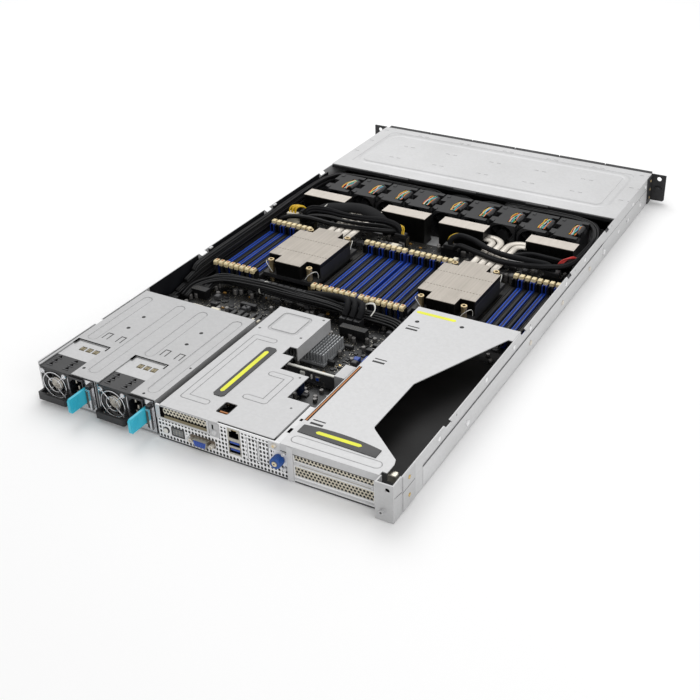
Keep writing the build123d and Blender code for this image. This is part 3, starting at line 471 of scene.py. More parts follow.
def swept(path, width, height=None, sides=12, closed=False):
    """A tube round a path: an oval of side and up at each point. Gives points, faces and UV."""
    path = np.asarray(path, float)
    height = width if height is None else height
    along = np.roll(path, -1, 0) - np.roll(path, 1, 0) if closed else np.gradient(path, axis=0)
    side, up = across(path, along, 0.5)
    angle = np.arange(sides) * 2 * math.pi / sides
    ring = side[:, None] * np.cos(angle)[None, :, None] * width / 2
    ring = ring + up[:, None] * np.sin(angle)[None, :, None] * height / 2
    faces = ring_faces(len(path), sides, True).tolist() if closed else capped_rings(len(path), sides)
    share = (np.arange(sides) / sides)[None]
    uv = np.stack(np.broadcast_arrays(share, run_along(path)[:, None]), -1).reshape(-1, 2)
    return (path[:, None] + ring).reshape(-1, 3), faces, uv


def join_tubes(parts):
    """Several swept tubes as one, with their UV."""
    points, faces = join(*[part[:2] for part in parts])
    return points, faces, np.concatenate([part[2] for part in parts])


def tube(name, path, width, material, **form):
    """A smooth tube, with its faces turned outwards where the signed volume says they point in."""
    points, faces, uv = swept(path, width, **form)
    a, b, c = (points[[face[i] for face in faces]] for i in range(3))
    if np.sum(a * np.cross(b - a, c - a)) < 0:
        faces = [face[::-1] for face in faces]
    return put(name, points, faces, material, smooth=True, uv=uv)


def cord(name, route, width, material, **form):
    """A tube along a smooth curve through the route."""
    return tube(name, smooth_route(route), width, material, **form)


def bundle(path, strands, wide, tall, lead, seed):
    """Leads side by side along a route: each keeps a sunflower place across it, turns slowly and sways."""
    rng = np.random.default_rng(seed)
    path = smooth_route(path, 7)
    twist = 0.004
    side, up = across(path, np.gradient(path, axis=0), 0.0)
    run = run_along(path)
    parts = []
    for number in range(strands):
        reach = math.sqrt((number + 0.5) / strands)
        turn = number * GOLDEN_ANGLE + twist * run
        sway = 0.12 * np.sin(run * rng.uniform(0.02, 0.06) + rng.uniform(0, 6.28))
        aside = side * ((reach * np.cos(turn) + sway) * (wide - lead) / 2)[:, None]
        rise = up * ((reach * np.sin(turn) + sway) * (tall - lead) / 2)[:, None]
        parts.append(swept(path + aside + rise, lead, sides=6))
    return join_tubes(parts)


def loom(name, path, strands, wide, tall, lead, material, seed):
    """One piece made of a bundle of leads."""
    points, faces, uv = bundle(path, strands, wide, tall, lead, seed)
    return put(name, points, faces, material, smooth=True, uv=uv)


def slabs(name, boxes, material, cut=0.0, **options):
    """One piece made of upright blocks."""
    return put(name, *blocks(boxes, cut), material, **options)


def rounds(name, centres, profile, material, sides=16, axis="z", **options):
    """One piece made of round parts."""
    return put(name, *turned(centres, profile, sides, axis), material, **options)


# Finishes
def lance_offset(x):
    """How far x lies from the nearer lance of a pair: a pair every 72.2, its lances 6 off the middle."""
    return ((((x + 182.6) / 72.2).fract() * 72.2 - 36.1).size() - 6.0).size()


def bay_ridges(f, x, y, z):
    """The pressed frame round the bay cover and the paired lances in three rows."""
    height = rounded_ridge(x, y, -193, 194, 670, 790, 16, 7.0) * 1.4
    lance = lance_offset(x).below(3.4)
    for row in LANCE_ROWS:
        height = height + lance * (y - row).size().below(1.6) * 1.2
    return height


def bay_slit_shade(f, x, y, z):
    """Painted shade: the dark slit along each lance."""
    dark = x * 0.0
    lance = lance_offset(x).below(3.2)
    for row in LANCE_ROWS:
        dark = dark + lance * (y - row - 1.6).size().below(0.5)
    return dark.least(1.0) * 0.7


def cage_ridges(f, x, y, z):
    """Four long pressings sunk into the power supply cage."""
    height = x * 0.0
    for left, right, rear in (
        (-208.1, -195.3, 79), (-160.9, -147.5, 26.4), (-128.8, -115.8, 79), (-81.2, -67.7, 24),
    ):
        height = height + stadium(x, y, left, right, rear, 185)
    return height * -1.5


def cage_hole_shade(f, x, y, z):
    """Painted shade: dark screw holes, and four small tongues outlined by a dark slit."""
    dark = dots(x, y, (
        (-179.1, 144.4, 2.3), (-179.1, 117.3, 2.3), (-98.5, 144.6, 2.3), (-98.5, 117.8, 2.3),
        (-65.2, 80.2, 1.4), (-166.8, 29.6, 1.8), (-79.2, 20.0, 1.6),
    ))
    for left, right in ((-191.9, -184.0), (-173.2, -165.8), (-111.9, -104.0), (-93.1, -85.1)):
        outer = x.between(left, right) * y.between(86.5, 99.4)
        inner = x.between(left + 1.3, right - 1.3) * y.between(86.4, 97.9)
        dark = dark + (outer - inner)
    return dark.least(1.0) * z.above(40.9)


def mid_cover_pressings(x, y):
    """Two hooked pressings, one behind each side edge of the cover, as round-ended bars."""
    height = stadium(x, y, -43.8, -35.3, 31.5, 171)
    for bar in (
        (31.5, 40.5, -43.8, -8.4), (162, 171, -43.8, -12.3), (106, 115, 13.7, 43.8), (58.5, 67.5, 13.7, 43.8),
    ):
        height = height.most(stadium(y, x, *bar))
    return height.most(stadium(x, y, 34.8, 43.8, 58.5, 115))


def mid_cover_ridges(f, x, y, z):
    """The cover's small rounded frame and its pressings, standing up."""
    return rounded_ridge(x, y, *MID_FRAME) * 1.2 + mid_cover_pressings(x, y) * 2.0


def mid_cover_crease_shade(f, x, y, z):
    """Soft shade along the edge of the pressings and over the frame line, on top of the cover only."""
    return edge_of(mid_cover_pressings(x, y)).most(rounded_ridge(x, y, *MID_FRAME) * 0.5) * z.above(41.5)


def mid_cover_hole_shade(f, x, y, z):
    """Painted shade: small holes in the top of the cover, drawn dark."""
    holes = ((9.2, 230.6, 1.6), (6.7, 185.6, 1.6), (-46.8, 184.2, 1.6), (48.3, 116.7, 1.3), (69.9, 65.4, 1.3))
    return dots(x, y, holes).least(1.0) * 0.8 * z.above(41.5)


def right_cover_hole_shade(f, x, y, z):
    """Painted shade: two holes, and a wide and a narrow slot at each of three bends, all drawn dark."""
    dark = disc(x, y, 105.2, 276.0, 2.6) + disc(x, y, 155.8, 287.3, 2.6)
    for middle in (260.8, 183.2, 56.0):
        for side, half in ((-2.9, 1.6), (2.9, 0.9)):
            dark = dark + x.between(99.9, 114.3) * y.between(middle + side - half, middle + side + half)
    return dark.least(1.0) * z.above(41.5)


def right_cover_ridges(f, x, y, z):
    """One long pressing across the cover, near its rear edge."""
    return stadium(y, x, *RIGHT_PRESSING) * 1.6


def right_cover_crease_shade(f, x, y, z):
    """Soft shade along the edge of that pressing."""
    return edge_of(stadium(y, x, *RIGHT_PRESSING)) * z.above(41.5)


def rear_panel_vent_shade(f, x, y, z):
    """Painted shade: fields of small dark vents everywhere but round the ports, and the dark cut outlines of
    two knock-outs.
    """
    u = (((x + 57.6) / 4.1).fract() - 0.5) * 4.1
    v = (((z - 0.8) / 5.0).fract() - 0.5) * 5.0
    vent = 1.0 - ((u / 1.4) * (u / 1.4) + (v / 1.8) * (v / 1.8)).ramp(0.8, 1.1)
    solid = x * 0.0
    for left, right, low, high in (
        (-52.0, -42.9, 6.0, 17.5), (-42.9, -24.0, 5.4, 17.9), (-24.0, -15.8, 5.4, 14.0),
        (-17.5, 13.5, 5.4, 16.6), (-58.0, 7.0, 23.4, 42.0), (7.0, 18.5, 21.5, 42.0), (27.3, 43.7, 5.4, 42.0),
        (50.6, 53.0, 8.2, 35.2), (63.0, 66.2, 8.2, 35.2), (76.3, 79.4, 8.2, 35.2), (77.0, 97.8, 31.6, 42.0),
        (83.0, 98.0, 15.0, 31.6), (97.8, 200.0, 0.0, 42.0), (-58.0, 200.0, 38.4, 42.0),
        (-58.0, 44.0, 0.0, 1.2), (44.0, 200.0, 0.0, 0.8),
    ):
        solid = solid.most(x.between(left, right) * z.between(low, high))
    lines = x * 0.0
    for left, right in ((51.6, 63.9), (65.0, 77.2)):
        outer = x.between(left, right) * z.between(9.6, 34.9)
        inner = x.between(left + 0.6, right - 0.6) * z.between(10.2, 34.3)
        lines = lines.most(outer - inner)
    return (vent * (1.0 - solid)).most(lines)


def side_hole_shade(f, x, y, z):
    """Painted shade: dark dots at the rivets behind the lid hooks and at small holes along the wall."""
    dark = dots(y, z, (
        (136, 37.5, 1.3), (334, 37.5, 1.3), (484, 37.5, 1.3), (628, 37.5, 1.3), (72, 8.0, 1.5),
        (258, 9.0, 1.5), (430, 9.0, 1.5), (700, 14.0, 1.6), (760, 22.0, 1.6), (785, 31.0, 1.8),
    ))
    return dark.least(1.0) * 0.65 * x.size().above(219.0)


STEEL = zinc_sheet("zinc_sheet", 200, holes=side_hole_shade)
BAY_STEEL = zinc_sheet("bay_cover_sheet", 206, ridges=bay_ridges, holes=bay_slit_shade)
CAGE_STEEL = zinc_sheet("power_cage_sheet", 180, ridges=cage_ridges, holes=cage_hole_shade)
MID_STEEL = zinc_sheet("middle_cover_sheet", 190, mid_cover_ridges, mid_cover_hole_shade, mid_cover_crease_shade)
RIGHT_STEEL = zinc_sheet("right_cover_sheet", 198, right_cover_ridges, right_cover_hole_shade, right_cover_crease_shade)
PANEL_STEEL = zinc_sheet("rear_panel_sheet", 244, holes=rear_panel_vent_shade, metallic=0.05)
PLAIN_STEEL = zinc_sheet("plain_sheet", 190)
RAIL_STEEL = zinc_sheet("rail_sheet", 208)
BLACK = moulded("black_moulding", tone(26, 26, 28), 0.42)
SOFT_BLACK = moulded("black_paint", tone(34, 34, 36), 0.55)
FAN_BLACK = moulded("fan_black", tone(27, 27, 29), 0.5, shine=0.4)
SOCKET_BLACK = moulded("socket_black", tone(17, 17, 18), 0.5, shine=0.3)
LATCH_CREAM = moulded("latch_cream", tone(236, 218, 172), 0.42)
BLUE = moulded("socket_blue", tone(18, 52, 140), 0.45, shine=0.4)
CREAM = moulded("cream_moulding", tone(226, 219, 200), 0.4)
WHITE = moulded("white_moulding", tone(236, 235, 228), 0.4)
CYAN = moulded("release_cyan", tone(56, 186, 212), 0.36)
YELLOW = moulded("stripe_yellow", tone(240, 244, 40), 0.5)
SOCKET_LIP_BLUE = moulded("socket_lip_blue", tone(40, 88, 200), 0.38, shine=0.4)
SOCKET_LIP_BLACK = moulded("socket_lip_black", tone(32, 32, 34), 0.45, shine=0.3)
SIGNAL_BLUE = moulded("port_blue", tone(28, 74, 170), 0.38)
KNOB_BLUE = moulded("knob_blue", tone(16, 74, 150), 0.36)
KNOB_CORE = bright_metal("knob_core", tone(226, 214, 186), 0.3)
GREY = moulded("grey_moulding", tone(120, 122, 124), 0.45)
CHOKE_GREY = moulded("choke_grey", tone(70, 70, 72), 0.5)
CAN_METAL = moulded("can_metal", tone(120, 118, 116), 0.35, metallic=0.5)
TANTALUM = moulded("tantalum", tone(150, 112, 52), 0.45)
PIN_GREY = moulded("pin_grey", tone(170, 172, 174), 0.4, metallic=0.3)
KHAKI = moulded("khaki_contact", tone(132, 122, 96), 0.4, metallic=0.4)
RIB_METAL = moulded("rib_metal", tone(112, 102, 90), 0.4, metallic=0.5)
INLET_GREY = moulded("inlet_grey", tone(52, 52, 56), 0.5)
GRAPHITE = moulded("graphite", tone(70, 70, 72), 0.45)
SEAM = moulded("fin_seam", tone(120, 112, 100), 0.5)
# Painted shade: a near-black sheet without reflection, laid where slots, holes, mouths and gaps show only
# shade.
GAP_SHADE = moulded("painted_gap_shade", tone(7, 7, 7), 0.8, shine=0.0)
ORANGE_BROWN = moulded("latch_mark", tone(176, 118, 70), 0.5)
ORANGE = moulded("board_edge", tone(182, 112, 44), 0.5)
CAN_BLUE = moulded("can_blue", tone(14, 26, 52), 0.25)
# On the wall dimples this pale tone is a painted highlight for their shine; the rail studs take the same
# tone.
PALE_STEEL_AND_HIGHLIGHT = zinc_sheet("pale_steel_and_highlight", 236)
CHIP = moulded("chip_black", tone(24, 24, 25), 0.35)
NICKEL = bright_metal("nickel", tone(232, 226, 216), 0.46)
FIN_METAL = bright_metal("fin_metal", tone(214, 206, 190), 0.34)
PIPE_METAL = moulded("plated_pipe", tone(226, 219, 208), 0.4, metallic=0.3)
BRASS = bright_metal("brass", tone(214, 184, 118), 0.26)
POST_BRASS = bright_metal("post_brass", tone(222, 200, 156), 0.34)
CHROME = bright_metal("chrome_wire", tone(226, 226, 228), 0.16)
TIN = bright_metal("tin_shell", tone(192, 188, 176), 0.3)
BOARD = circuit_board("circuit_board")
SLOT_MESH = perforated("slot_cover_mesh", 4.0, 2.7, 212)
SLEEVE = braided_sleeve("black_sleeve")
LEAD_BLACK = painted_lead("lead_black", (17, 17, 19), 0.4, 0.3)
LEAD_YELLOW = painted_lead("lead_yellow", (244, 200, 30))
LEAD_RED = painted_lead("lead_red", (206, 36, 30))
LEAD_WHITE = painted_lead("lead_white", (226, 224, 216))
LEAD_GREEN = painted_lead("lead_green", (70, 180, 96))
LEAD_BLUE = painted_lead("lead_blue", (96, 170, 220))
LEAD_ORANGE = painted_lead("lead_orange", (240, 140, 60))
FILM = moulded("insulating_film", tone(20, 19, 19), 0.55, 0.1, shine=0.2)
# Partly film, partly painted shade: near black, with a faint blue that stands in for the sheen on the walls'
# inner faces.
WALL_FILM_AND_SHADE = moulded("wall_film_and_shade", tone(14, 15, 20), 0.4, 0.1, shine=0.35)

NODE_FINISHES = {
    "chassis_tray": STEEL, "bay_cover": BAY_STEEL, "rack_ears": SOFT_BLACK, "rear_bracket": PLAIN_STEEL,
    "rail_studs": PALE_STEEL_AND_HIGHLIGHT, "mainboard": BOARD, "memory_sockets_blue": BLUE,
    "memory_sockets_black": SOCKET_BLACK,
    "memory_latches": CREAM, "cooler_fins": FIN_METAL, "cooler_pipes": NICKEL, "cooler_screws": BRASS,
    "chipset_cooler": GREY, "fan_frames": FAN_BLACK, "drive_cage": PLAIN_STEEL, "drive_backplane": BOARD,
    "psu_cage": CAGE_STEEL, "rear_panel": PANEL_STEEL, "rear_ports": TIN, "slot_covers": SLOT_MESH,
    "identify_button": GREY, "power_button": GREY, "thumbscrew": KNOB_BLUE, "riser_mid_cover": MID_STEEL,
    "riser_right_cover": RIGHT_STEEL, "riser_grips": BLACK, "riser_cards": BOARD, "card_insulator": FILM,
    "cables": SLEEVE, "psu_case": PLAIN_STEEL, "psu_face": BLACK, "psu_guard": CHROME, "psu_rotor": BLACK,
    "psu_latch": CYAN, "fan_rotor": BLACK, "drive_carrier": SOFT_BLACK,
}
for node_name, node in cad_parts.items():
    family = node_name if node_name in NODE_FINISHES else node_name.rstrip("0123456789").rstrip("_")
    node.data.materials.clear()
    node.data.materials.append(NODE_FINISHES[family])


# Memory sockets
def memory_places():
    """The middle of every memory socket across the board."""
    return [first + way * n * SOCKET_PITCH for first, way, _ in MEMORY_BANKS for n in range(8)]


def make_contact_strips():
    """The groove between the two lips of each socket, with its row of contacts, painted dark as the shade in
    the groove; dark channels of painted shade at the socket ends; and the lips.
    """
    middles = np.array(memory_places())
    f = Finish("contact_groove_shade")
    x, y, z = f.axes()
    pin = ((y / 0.85).fract()).below(0.4) * z.above(16.5)
    # painted shade: the groove near black and its contacts dim
    f.colour(f.mix(pin, tone(5, 5, 6), tone(40, 34, 24))).rough(pin * -0.1 + 0.55)
    f.bump(pin, 0.1)
    slabs("socket_groove_shade", [(x - 0.75, x + 0.75, 328.2, 443.8, 16.2, 16.56) for x in middles], f.material)
    blue = (np.tile(np.arange(8), 4) % 2 == 0) == np.array([first for _, _, first in MEMORY_BANKS]).repeat(8)
    # painted shade in the channels at the socket ends
    channel_shade = [(x - 1.5, x + 1.5, y, y + 0.3, 17.4, 27.1) for x in middles for y in (445.8, 317.8)]
    channel_shade += [(x - 1.5, x + 1.5, 446.0, 447.6, 26.9, 27.1) for x in middles]
    slabs("socket_channel_shade", channel_shade, GAP_SHADE)
    for name, chosen, finish in (("blue", blue, SOCKET_LIP_BLUE), ("black", ~blue, SOCKET_LIP_BLACK)):
        edges = [(x + a, x + b) for x in middles[chosen] for a, b in ((-2.6, -1.5), (1.5, 2.6))]
        slabs(f"socket_lips_{name}", [(*edge, 328.0, 444.0, 16.4, 17.5) for edge in edges], finish, 0.3)


def make_memory_latches():
    """Pale end latches: a hooked head with a notch on top of the tower at each end of every socket."""
    hook = [(68.0, 25.6), (71.6, 25.6), (72.0, 29.6), (70.6, 31.0), (64.0, 31.0), (63.6, 27.0), (68.0, 27.0)]
    stem = [(68.0, 12.0), (70.4, 12.0), (70.8, 25.8), (68.0, 25.8)]
    shapes = (
        ("heads", extruded(hook, -2.5, 2.5, "x"), LATCH_CREAM),
        ("stems", extruded(stem, -1.4, 1.4, "x"), SOFT_BLACK),
        ("marks", blocks([(-1.2, 1.2, 63.9, 68.0, 30.9, 31.2)]), ORANGE_BROWN),
    )
    middles = [(x, 386.0, 0.0) for x in memory_places()]
    for name, (points, faces), finish in shapes:
        front = repeat(points, faces, middles)
        rear = repeat(points * (-1, -1, 1), faces, middles)
        piece = put(f"memory_latch_{name}", *(rear if name == "marks" else join(front, rear)), finish)
        name == "heads"
        if name != "marks":
            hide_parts("memory_latches")


# Coolers
def fin_rows(left, right, rear, front, bottom, top, pitch, corner_x=0.0, corner_y=0.0):
    """Thin upright fins with a folded lip on top; the outer ones are shorter by the corner cut."""
    count = int((right - left) / pitch)
    x = left + (np.arange(count) + 0.5) * (right - left) / count
    short = (x < left + corner_x) | (x > right - corner_x)
    y0 = np.where(short, rear + corner_y, rear)
    y1 = np.where(short, front - corner_y, front)
    wide = (right - left) / count
    level = np.ones(count)
    fins = np.stack([x - 0.2, x + 0.2, y0, y1, bottom * level, (top - 0.4) * level], 1)
    lips = np.stack([x - wide / 2 + 0.1, x + wide / 2 - 0.1, y0, y1, (top - 0.4) * level, top * level], 1)
    return np.concatenate([fins, lips])


def make_coolers():
    """Each cooler: a notched stack of thin fins on a base between two cheeks, and two side fin blocks."""
    rows, bases, rods = [], [], []
    for x in COOLER_X:
        left, right = x - COOLER_HALF, x + COOLER_HALF
        rows.append(fin_rows(left, right, COOLER_REAR, COOLER_FRONT, 20.5, FIN_TOP, 1.75, 19.0, 16.5))
        bases.append((left, right, COOLER_REAR, COOLER_FRONT, 15.5, 20.5))
        bases += [(edge, edge + 0.6, 350.5, 425.5, 20.5, 34.0) for edge in (left, right - 0.6)]
        for side in (-1, 1):
            middle = x + side * REMOTE_OFFSET
            block = (middle - REMOTE_HALF, middle + REMOTE_HALF, REMOTE_REAR, REMOTE_FRONT)
            rows.append(fin_rows(*block, 3.0, FIN_TOP, 1.7))
            bases.append((*block, 1.0, 3.0))
        for rod_y in (368.0, 404.0):
            starts = [left + 0.5 + 4 * n for n in range(19)]
            rods += [
                (start, start + 2.3, rod_y - 0.6, rod_y + 0.6, FIN_TOP, FIN_TOP + 0.08) for start in starts
            ]
    f = Finish("folded_fins_and_shade", Metallic=0.45)
    x, y, z = f.axes()
    soft = f.noise(0.05, 3.0)
    # painted shade: below the folded lip the fin faces turn near black, for the shade between the close fins
    side = z.ramp(38.8, 40.3)
    line = f.grain(0.35, (1.0, 0.015, 1.0))
    pale = f.mix(soft * 0.3 + line * 0.7, tone(150, 143, 133), tone(208, 200, 190))
    pale = f.mix(y.above(500.0) * 0.5, pale, tone(238, 230, 220))
    f.colour(f.mix(side, tone(30, 29, 28), pale)).rough(soft * 0.15 + 0.34)
    f.bump(f.grain(1.0, (1.0, 0.08, 1.0)), 0.05)
    piece = slabs("cooler_fin_stacks", np.concatenate(rows), f.material, slot="fins")
    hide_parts("cooler_fins")
    slabs("cooler_bases", bases, SOFT_BLACK, 0.1, slot="fins")
    slabs("cooler_top_seams", rods, SEAM)


def make_heat_pipes():
    """Flattened pipes: straight out of the cooler, round a quarter turn, into the side fins."""
    for number, x in enumerate(COOLER_X):
        for side in (-1, 1):
            end = x + side * (REMOTE_OFFSET - REMOTE_HALF)
            for row, spread in enumerate((16.0, 5.3)):
                turn_y = REMOTE_REAR + 21.5 * (0.28 + 0.44 * row)
                start = x + side * spread
                radius = min(10 + row * 8, abs(end - start) - 1)
                angle = np.linspace(0, math.pi / 2, 12)
                bend_x = start + side * radius * (1 - np.cos(angle))
                bend_y = turn_y - radius * (1 - np.sin(angle))
                bend = np.stack([bend_x, bend_y, np.full(12, PIPE_LEVEL)], 1)
                path = [(start, 440.0, PIPE_LEVEL), *bend, (end + side * 2, turn_y, PIPE_LEVEL)]
                piece = tube(
                    f"heat_pipe_{number}_{side + 1}_{row}", path, 9.2, PIPE_METAL, height=4.4, sides=16,
                )
                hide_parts("cooler_pipes")


def make_cooler_posts():
    """Captive screws with a hollow head, the hollow a dark disc of painted shade, and a thin wire bail beside
    each.
    """
    centres = [(x + dx, COOLER_Y + dy, 0) for x in COOLER_X for dx in (-28.1, 28.1) for dy in (-48, 48)]
    head = [
        (3.3, 8.6), (3.3, 22.0), (3.7, 22.2), (3.7, 36.2), (4.1, 36.5), (4.1, 38.1), (3.7, 38.5), (2.1, 38.5),
        (1.9, 34.0), (0.2, 34.0),
    ]
    piece = rounds("cooler_screw_heads", centres, head, POST_BRASS, 18)
    rounds("cooler_screw_socket_shade", centres, [(2.0, 35.5), (2.0, 35.9), (0.2, 35.9)], GAP_SHADE, 14)
    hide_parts("cooler_screws")
    steps = [(7.2, -9, 21.2), (8.2, -7, 28), (8.0, -3, 33), (6.0, 2.6, 34), (1.0, 5.0, 30), (-4.0, 5.0, 23)]
    bails = []
    for number, (x, y, _) in enumerate(centres):
        out_x = 1 if (number // 2) % 2 else -1
        out_y = 1 if number % 2 else -1
        route = [(x + out_x * dx, y + out_y * dy, z) for dx, dy, z in steps]
        bails.append(swept(smooth_route(route, 5), 0.9, sides=6)[:2])
    put("cooler_bails", *join(*bails), WHITE, smooth=True)
    plates = [(x - COOLER_HALF, x + COOLER_HALF, COOLER_REAR, COOLER_FRONT, 20.5, 21.0) for x in COOLER_X]
    slabs("cooler_plates", plates, SOFT_BLACK, 0.2)


# Power supplies
def ring_path(x, y, z, radius, count=40):
    """Points of an upright circle that faces the rear."""
    angle = np.linspace(0, 2 * math.pi, count, endpoint=False)
    return np.stack([x + radius * np.cos(angle), np.full(count, y), z + radius * np.sin(angle)], 1)


def on_supply(number, name, boxes, finish, cut=0.0):
    """Blocks given from a power supply's left side, rear face and bottom."""
    shift = np.array([PSU_LEFT[number]] * 2 + [PSU_REAR] * 2 + [PSU_BOTTOM] * 2)
    slabs(f"{name}_{number + 1}", np.array(boxes) + shift, finish, cut, body=f"psu_{number + 1}")


def make_supply_fan(number):
    """Wire guard of two rings and four spokes, the hub behind it, clips above it and screws below."""
    order, body = number + 1, f"psu_{number + 1}"
    fan_x, fan_z = PSU_LEFT[number] + 18.6, PSU_BOTTOM + 19.75
    wire = 1.3
    middle = np.array([fan_x, PSU_REAR - wire / 2, fan_z])
    guard = [swept(ring_path(*middle, radius), wire, sides=8, closed=True)[:2] for radius in (15.6, 8.6)]
    for angle in (45, 135, 225, 315):
        a = math.radians(angle)
        reach = np.linspace(5.0, 19.2, 6)[:, None]
        line = middle + reach * np.array([math.cos(a), 0, math.sin(a)])
        guard.append(swept(line + np.array([0, -0.01, 0.01]) * reach ** 2 * 0.001, wire, sides=8)[:2])
    piece = put(f"fan_guard_{order}", *join(*guard), CHROME, body, smooth=True, slot="chrome")
    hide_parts(f"psu_guard_{order}")
    hub = [
        (7.9, 1.2), (7.9, 0.2), (7.2, -0.4), (5.4, -0.4), (5.0, -0.1), (2.4, -0.1), (2.0, -0.5), (0.3, -0.5),
    ]
    rounds(
        f"fan_hub_{order}", [(fan_x, PSU_REAR + 2.7, fan_z)], hub, NICKEL, 28, "y", body=f"psu_rotor_{order}",
    )
    clips = [(fan_x + dx, PSU_REAR - 0.6, fan_z + 14.6) for dx in (-14.8, 14.8)]
    clip = [(3.1, 0.6), (3.1, -0.3), (2.5, -1.0), (1.5, -1.1), (1.2, -0.5), (0.3, -0.5)]
    rounds(f"corner_clips_{order}", clips, clip, CHROME, 14, "y", body=body)
    screws = [(fan_x + dx, PSU_REAR - 0.2, fan_z - 15.6) for dx in (-15.2, 15.2)]
    screw = [(1.4, 0.2), (1.4, -0.3), (0.9, -0.6), (0.2, -0.6)]
    rounds(f"face_screws_{order}", screws, screw, NICKEL, 14, "y", body=body)


def make_supply_edges(number):
    """Thin bright edges of the shell round the black moulding, a rib on its plate and a round bump."""
    on_supply(number, "shell_edges", [
        (0.05, 0.7, -0.15, 1.0, 11.0, 38.9), (37.6, 39.0, -0.2, 1.0, 11.5, 34.5),
        (61.2, 73.2, -0.25, 1.0, 33.3, 39.1), (71.8, 73.3, -0.25, 1.0, 0.4, 33.3),
        (40.4, 71.8, -0.25, 1.0, 0.4, 7.6),
    ], CHROME, 0.1)
    on_supply(number, "rear_rib", [(66.1, 69.3, -5.15, -0.3, 13.0, 29.0)], RIB_METAL, 0.3)
    plate = [(69.2, 71.8, -5.2, -0.3, 6.5, 31.5), (66.1, 69.3, -5.2, -0.3, 28.9, 31.5)]
    on_supply(number, "rib_plate", plate, CHROME, 0.1)
    knob = [(2.6, 0.2), (2.6, -0.9), (1.9, -1.5), (0.3, -1.6)]
    middle = (PSU_LEFT[number] + 67.1, PSU_REAR - 0.3, 6.2)
    rounds(f"rear_bump_{number + 1}", [middle], knob, BLACK, 18, "y", body=f"psu_{number + 1}")


def make_supply_top(number):
    """Raised louvres on the top plate with their mouths painted dark as painted shade, and a bent pair of
    fingers in each of three slots.
    """
    left, top, order, body = PSU_LEFT[number], PSU_BOTTOM + 39.5, number + 1, f"psu_{number + 1}"
    mouth = extruded([(0.0, 0.0), (6.4, 0.0), (3.2, 5.0)], top - 0.05, top + 0.05, "z")
    lid = extruded([(-0.6, -1.3), (7.0, -1.3), (6.4, 0.0), (0.0, 0.0)], top - 0.05, top + 0.5, "z")
    louvres = [(left + dx, 20.4 + 7.2 * row, 0.0) for dx in (6.0, 28.0) for row in range(3)]
    # painted shade in the louvre mouths
    put(f"louvre_mouth_shade_{order}", *repeat(*mouth, louvres), GAP_SHADE, body)
    put(f"top_louvres_{order}", *repeat(*lid, louvres), GRAPHITE, body)
    bend = [
        (0.0, -1.4), (2.0, 0.1), (6.4, 0.3), (7.4, -0.9), (6.8, -1.2), (6.0, -0.2), (2.2, -0.4), (0.6, -1.6),
    ]
    finger = extruded(np.array(bend) + (57.2, top - 0.1), 0.0, 2.7, "x")
    pairs = [(left + 16.5 + 9 * n + 3.2 * half, 0.0, 0.0) for n in range(3) for half in (0, 1)]
    put(f"contact_fingers_{order}", *repeat(*finger, pairs), KHAKI, body)


def make_supply_inlet(number):
    """Three flat pins and a rim round the mouth of the power inlet."""
    middles = ((50.7, 24.5), (47.8, 17.5), (47.8, 31.5))
    pins = [(x - 0.9, x + 0.9, 2.0, 15.4, z - 2.2, z + 2.2) for x, z in middles]
    on_supply(number, "inlet_pins", pins, TIN, 0.2)
    sides = (
        (40.5, 61.0, 11.0, 12.5), (40.5, 61.0, 36.5, 38.0),
        (40.5, 42.0, 12.5, 36.5), (59.5, 61.0, 12.5, 36.5),
    )
    on_supply(
        number, "inlet_rim", [(x0, x1, -2.3, -1.9, z0, z1) for x0, x1, z0, z1 in sides], INLET_GREY, 0.1,
    )


def make_supply_latch(number):
    """The slot over the release tab as dark strips of painted shade on the cage, and the tab's grip ribs."""
    left = PSU_LEFT[number]
    # painted shade: dark strips on the cage for the slot
    slot = [
        (left + 3.0, left + 45.5, 73.6, 75.2, 42.1, 42.16),
        (left + 45.0, left + 46.6, 66.0, 75.2, 42.1, 42.16),
    ]
    slot += [(left + 1.0, left + 4.0, 66.0, 75.2, 42.1, 42.16)]
    slabs(f"cage_slot_shade_{number + 1}", slot, GAP_SHADE)
    ribs = [(left + 62.0, left + 65.6, -12.0 + 2.2 * n, -11.0 + 2.2 * n, 17.5, 28.5) for n in range(5)]
    slabs(f"tab_ribs_{number + 1}", ribs, CYAN, 0.2, body=f"psu_latch_{number + 1}", slot="cyan_plastic")


# Rear panel and ports
def on_panel(name, rows, finish, cut=0.0):
    """Blocks with their y counted from the rear panel's face."""
    slabs(name, np.array(rows) + (0, 0, PANEL_Y, PANEL_Y, 0, 0), finish, cut)


def make_port_stack():
    """Dark linings of painted shade, keys, tongues and contacts in the three sockets of the port stack."""
    left, right = STACK_X - STACK_HALF, STACK_X + STACK_HALF
    mouths = ((28.2, 38.4, 1.4), (18.6, 24.4, 0.8), (10.2, 16.0, 0.8))
    # painted shade: dark sheets at the sockets' mouths, floors and sides
    dark = [(left + a, right - a, 33.6, 34.0, low, high) for low, high, a in mouths]
    dark += [(left + 1.4, right - 1.4, 13.4, 33.6, low, low + 0.15) for low, _, _ in mouths]
    dark += [
        (x, x + 0.12, 12.6, 33.6, low, high) for low, high, a in mouths for x in (left + a, right - a - 0.12)
    ]
    slabs("socket_lining_shade", dark, GAP_SHADE)
    keys = [(x, x + 2.6, 12.5, 14.0, 35.4, 38.4) for x in (left + 1.4, right - 4.0)]
    slabs("socket_keys", keys, TIN, 0.2)
    tongues = [(left + 1.8, right - 1.8, 12.6, 30.0, z + 2.6, z + 4.8) for z in (18.6, 10.2)]
    slabs("data_tongues", tongues, SIGNAL_BLUE, 0.2)
    pins = [(left + 2.7 + 1.15 * n, left + 3.2 + 1.15 * n, 14.2, 26.0, 35.6, 37.4) for n in range(8)]
    slabs("network_contacts", pins, BRASS)


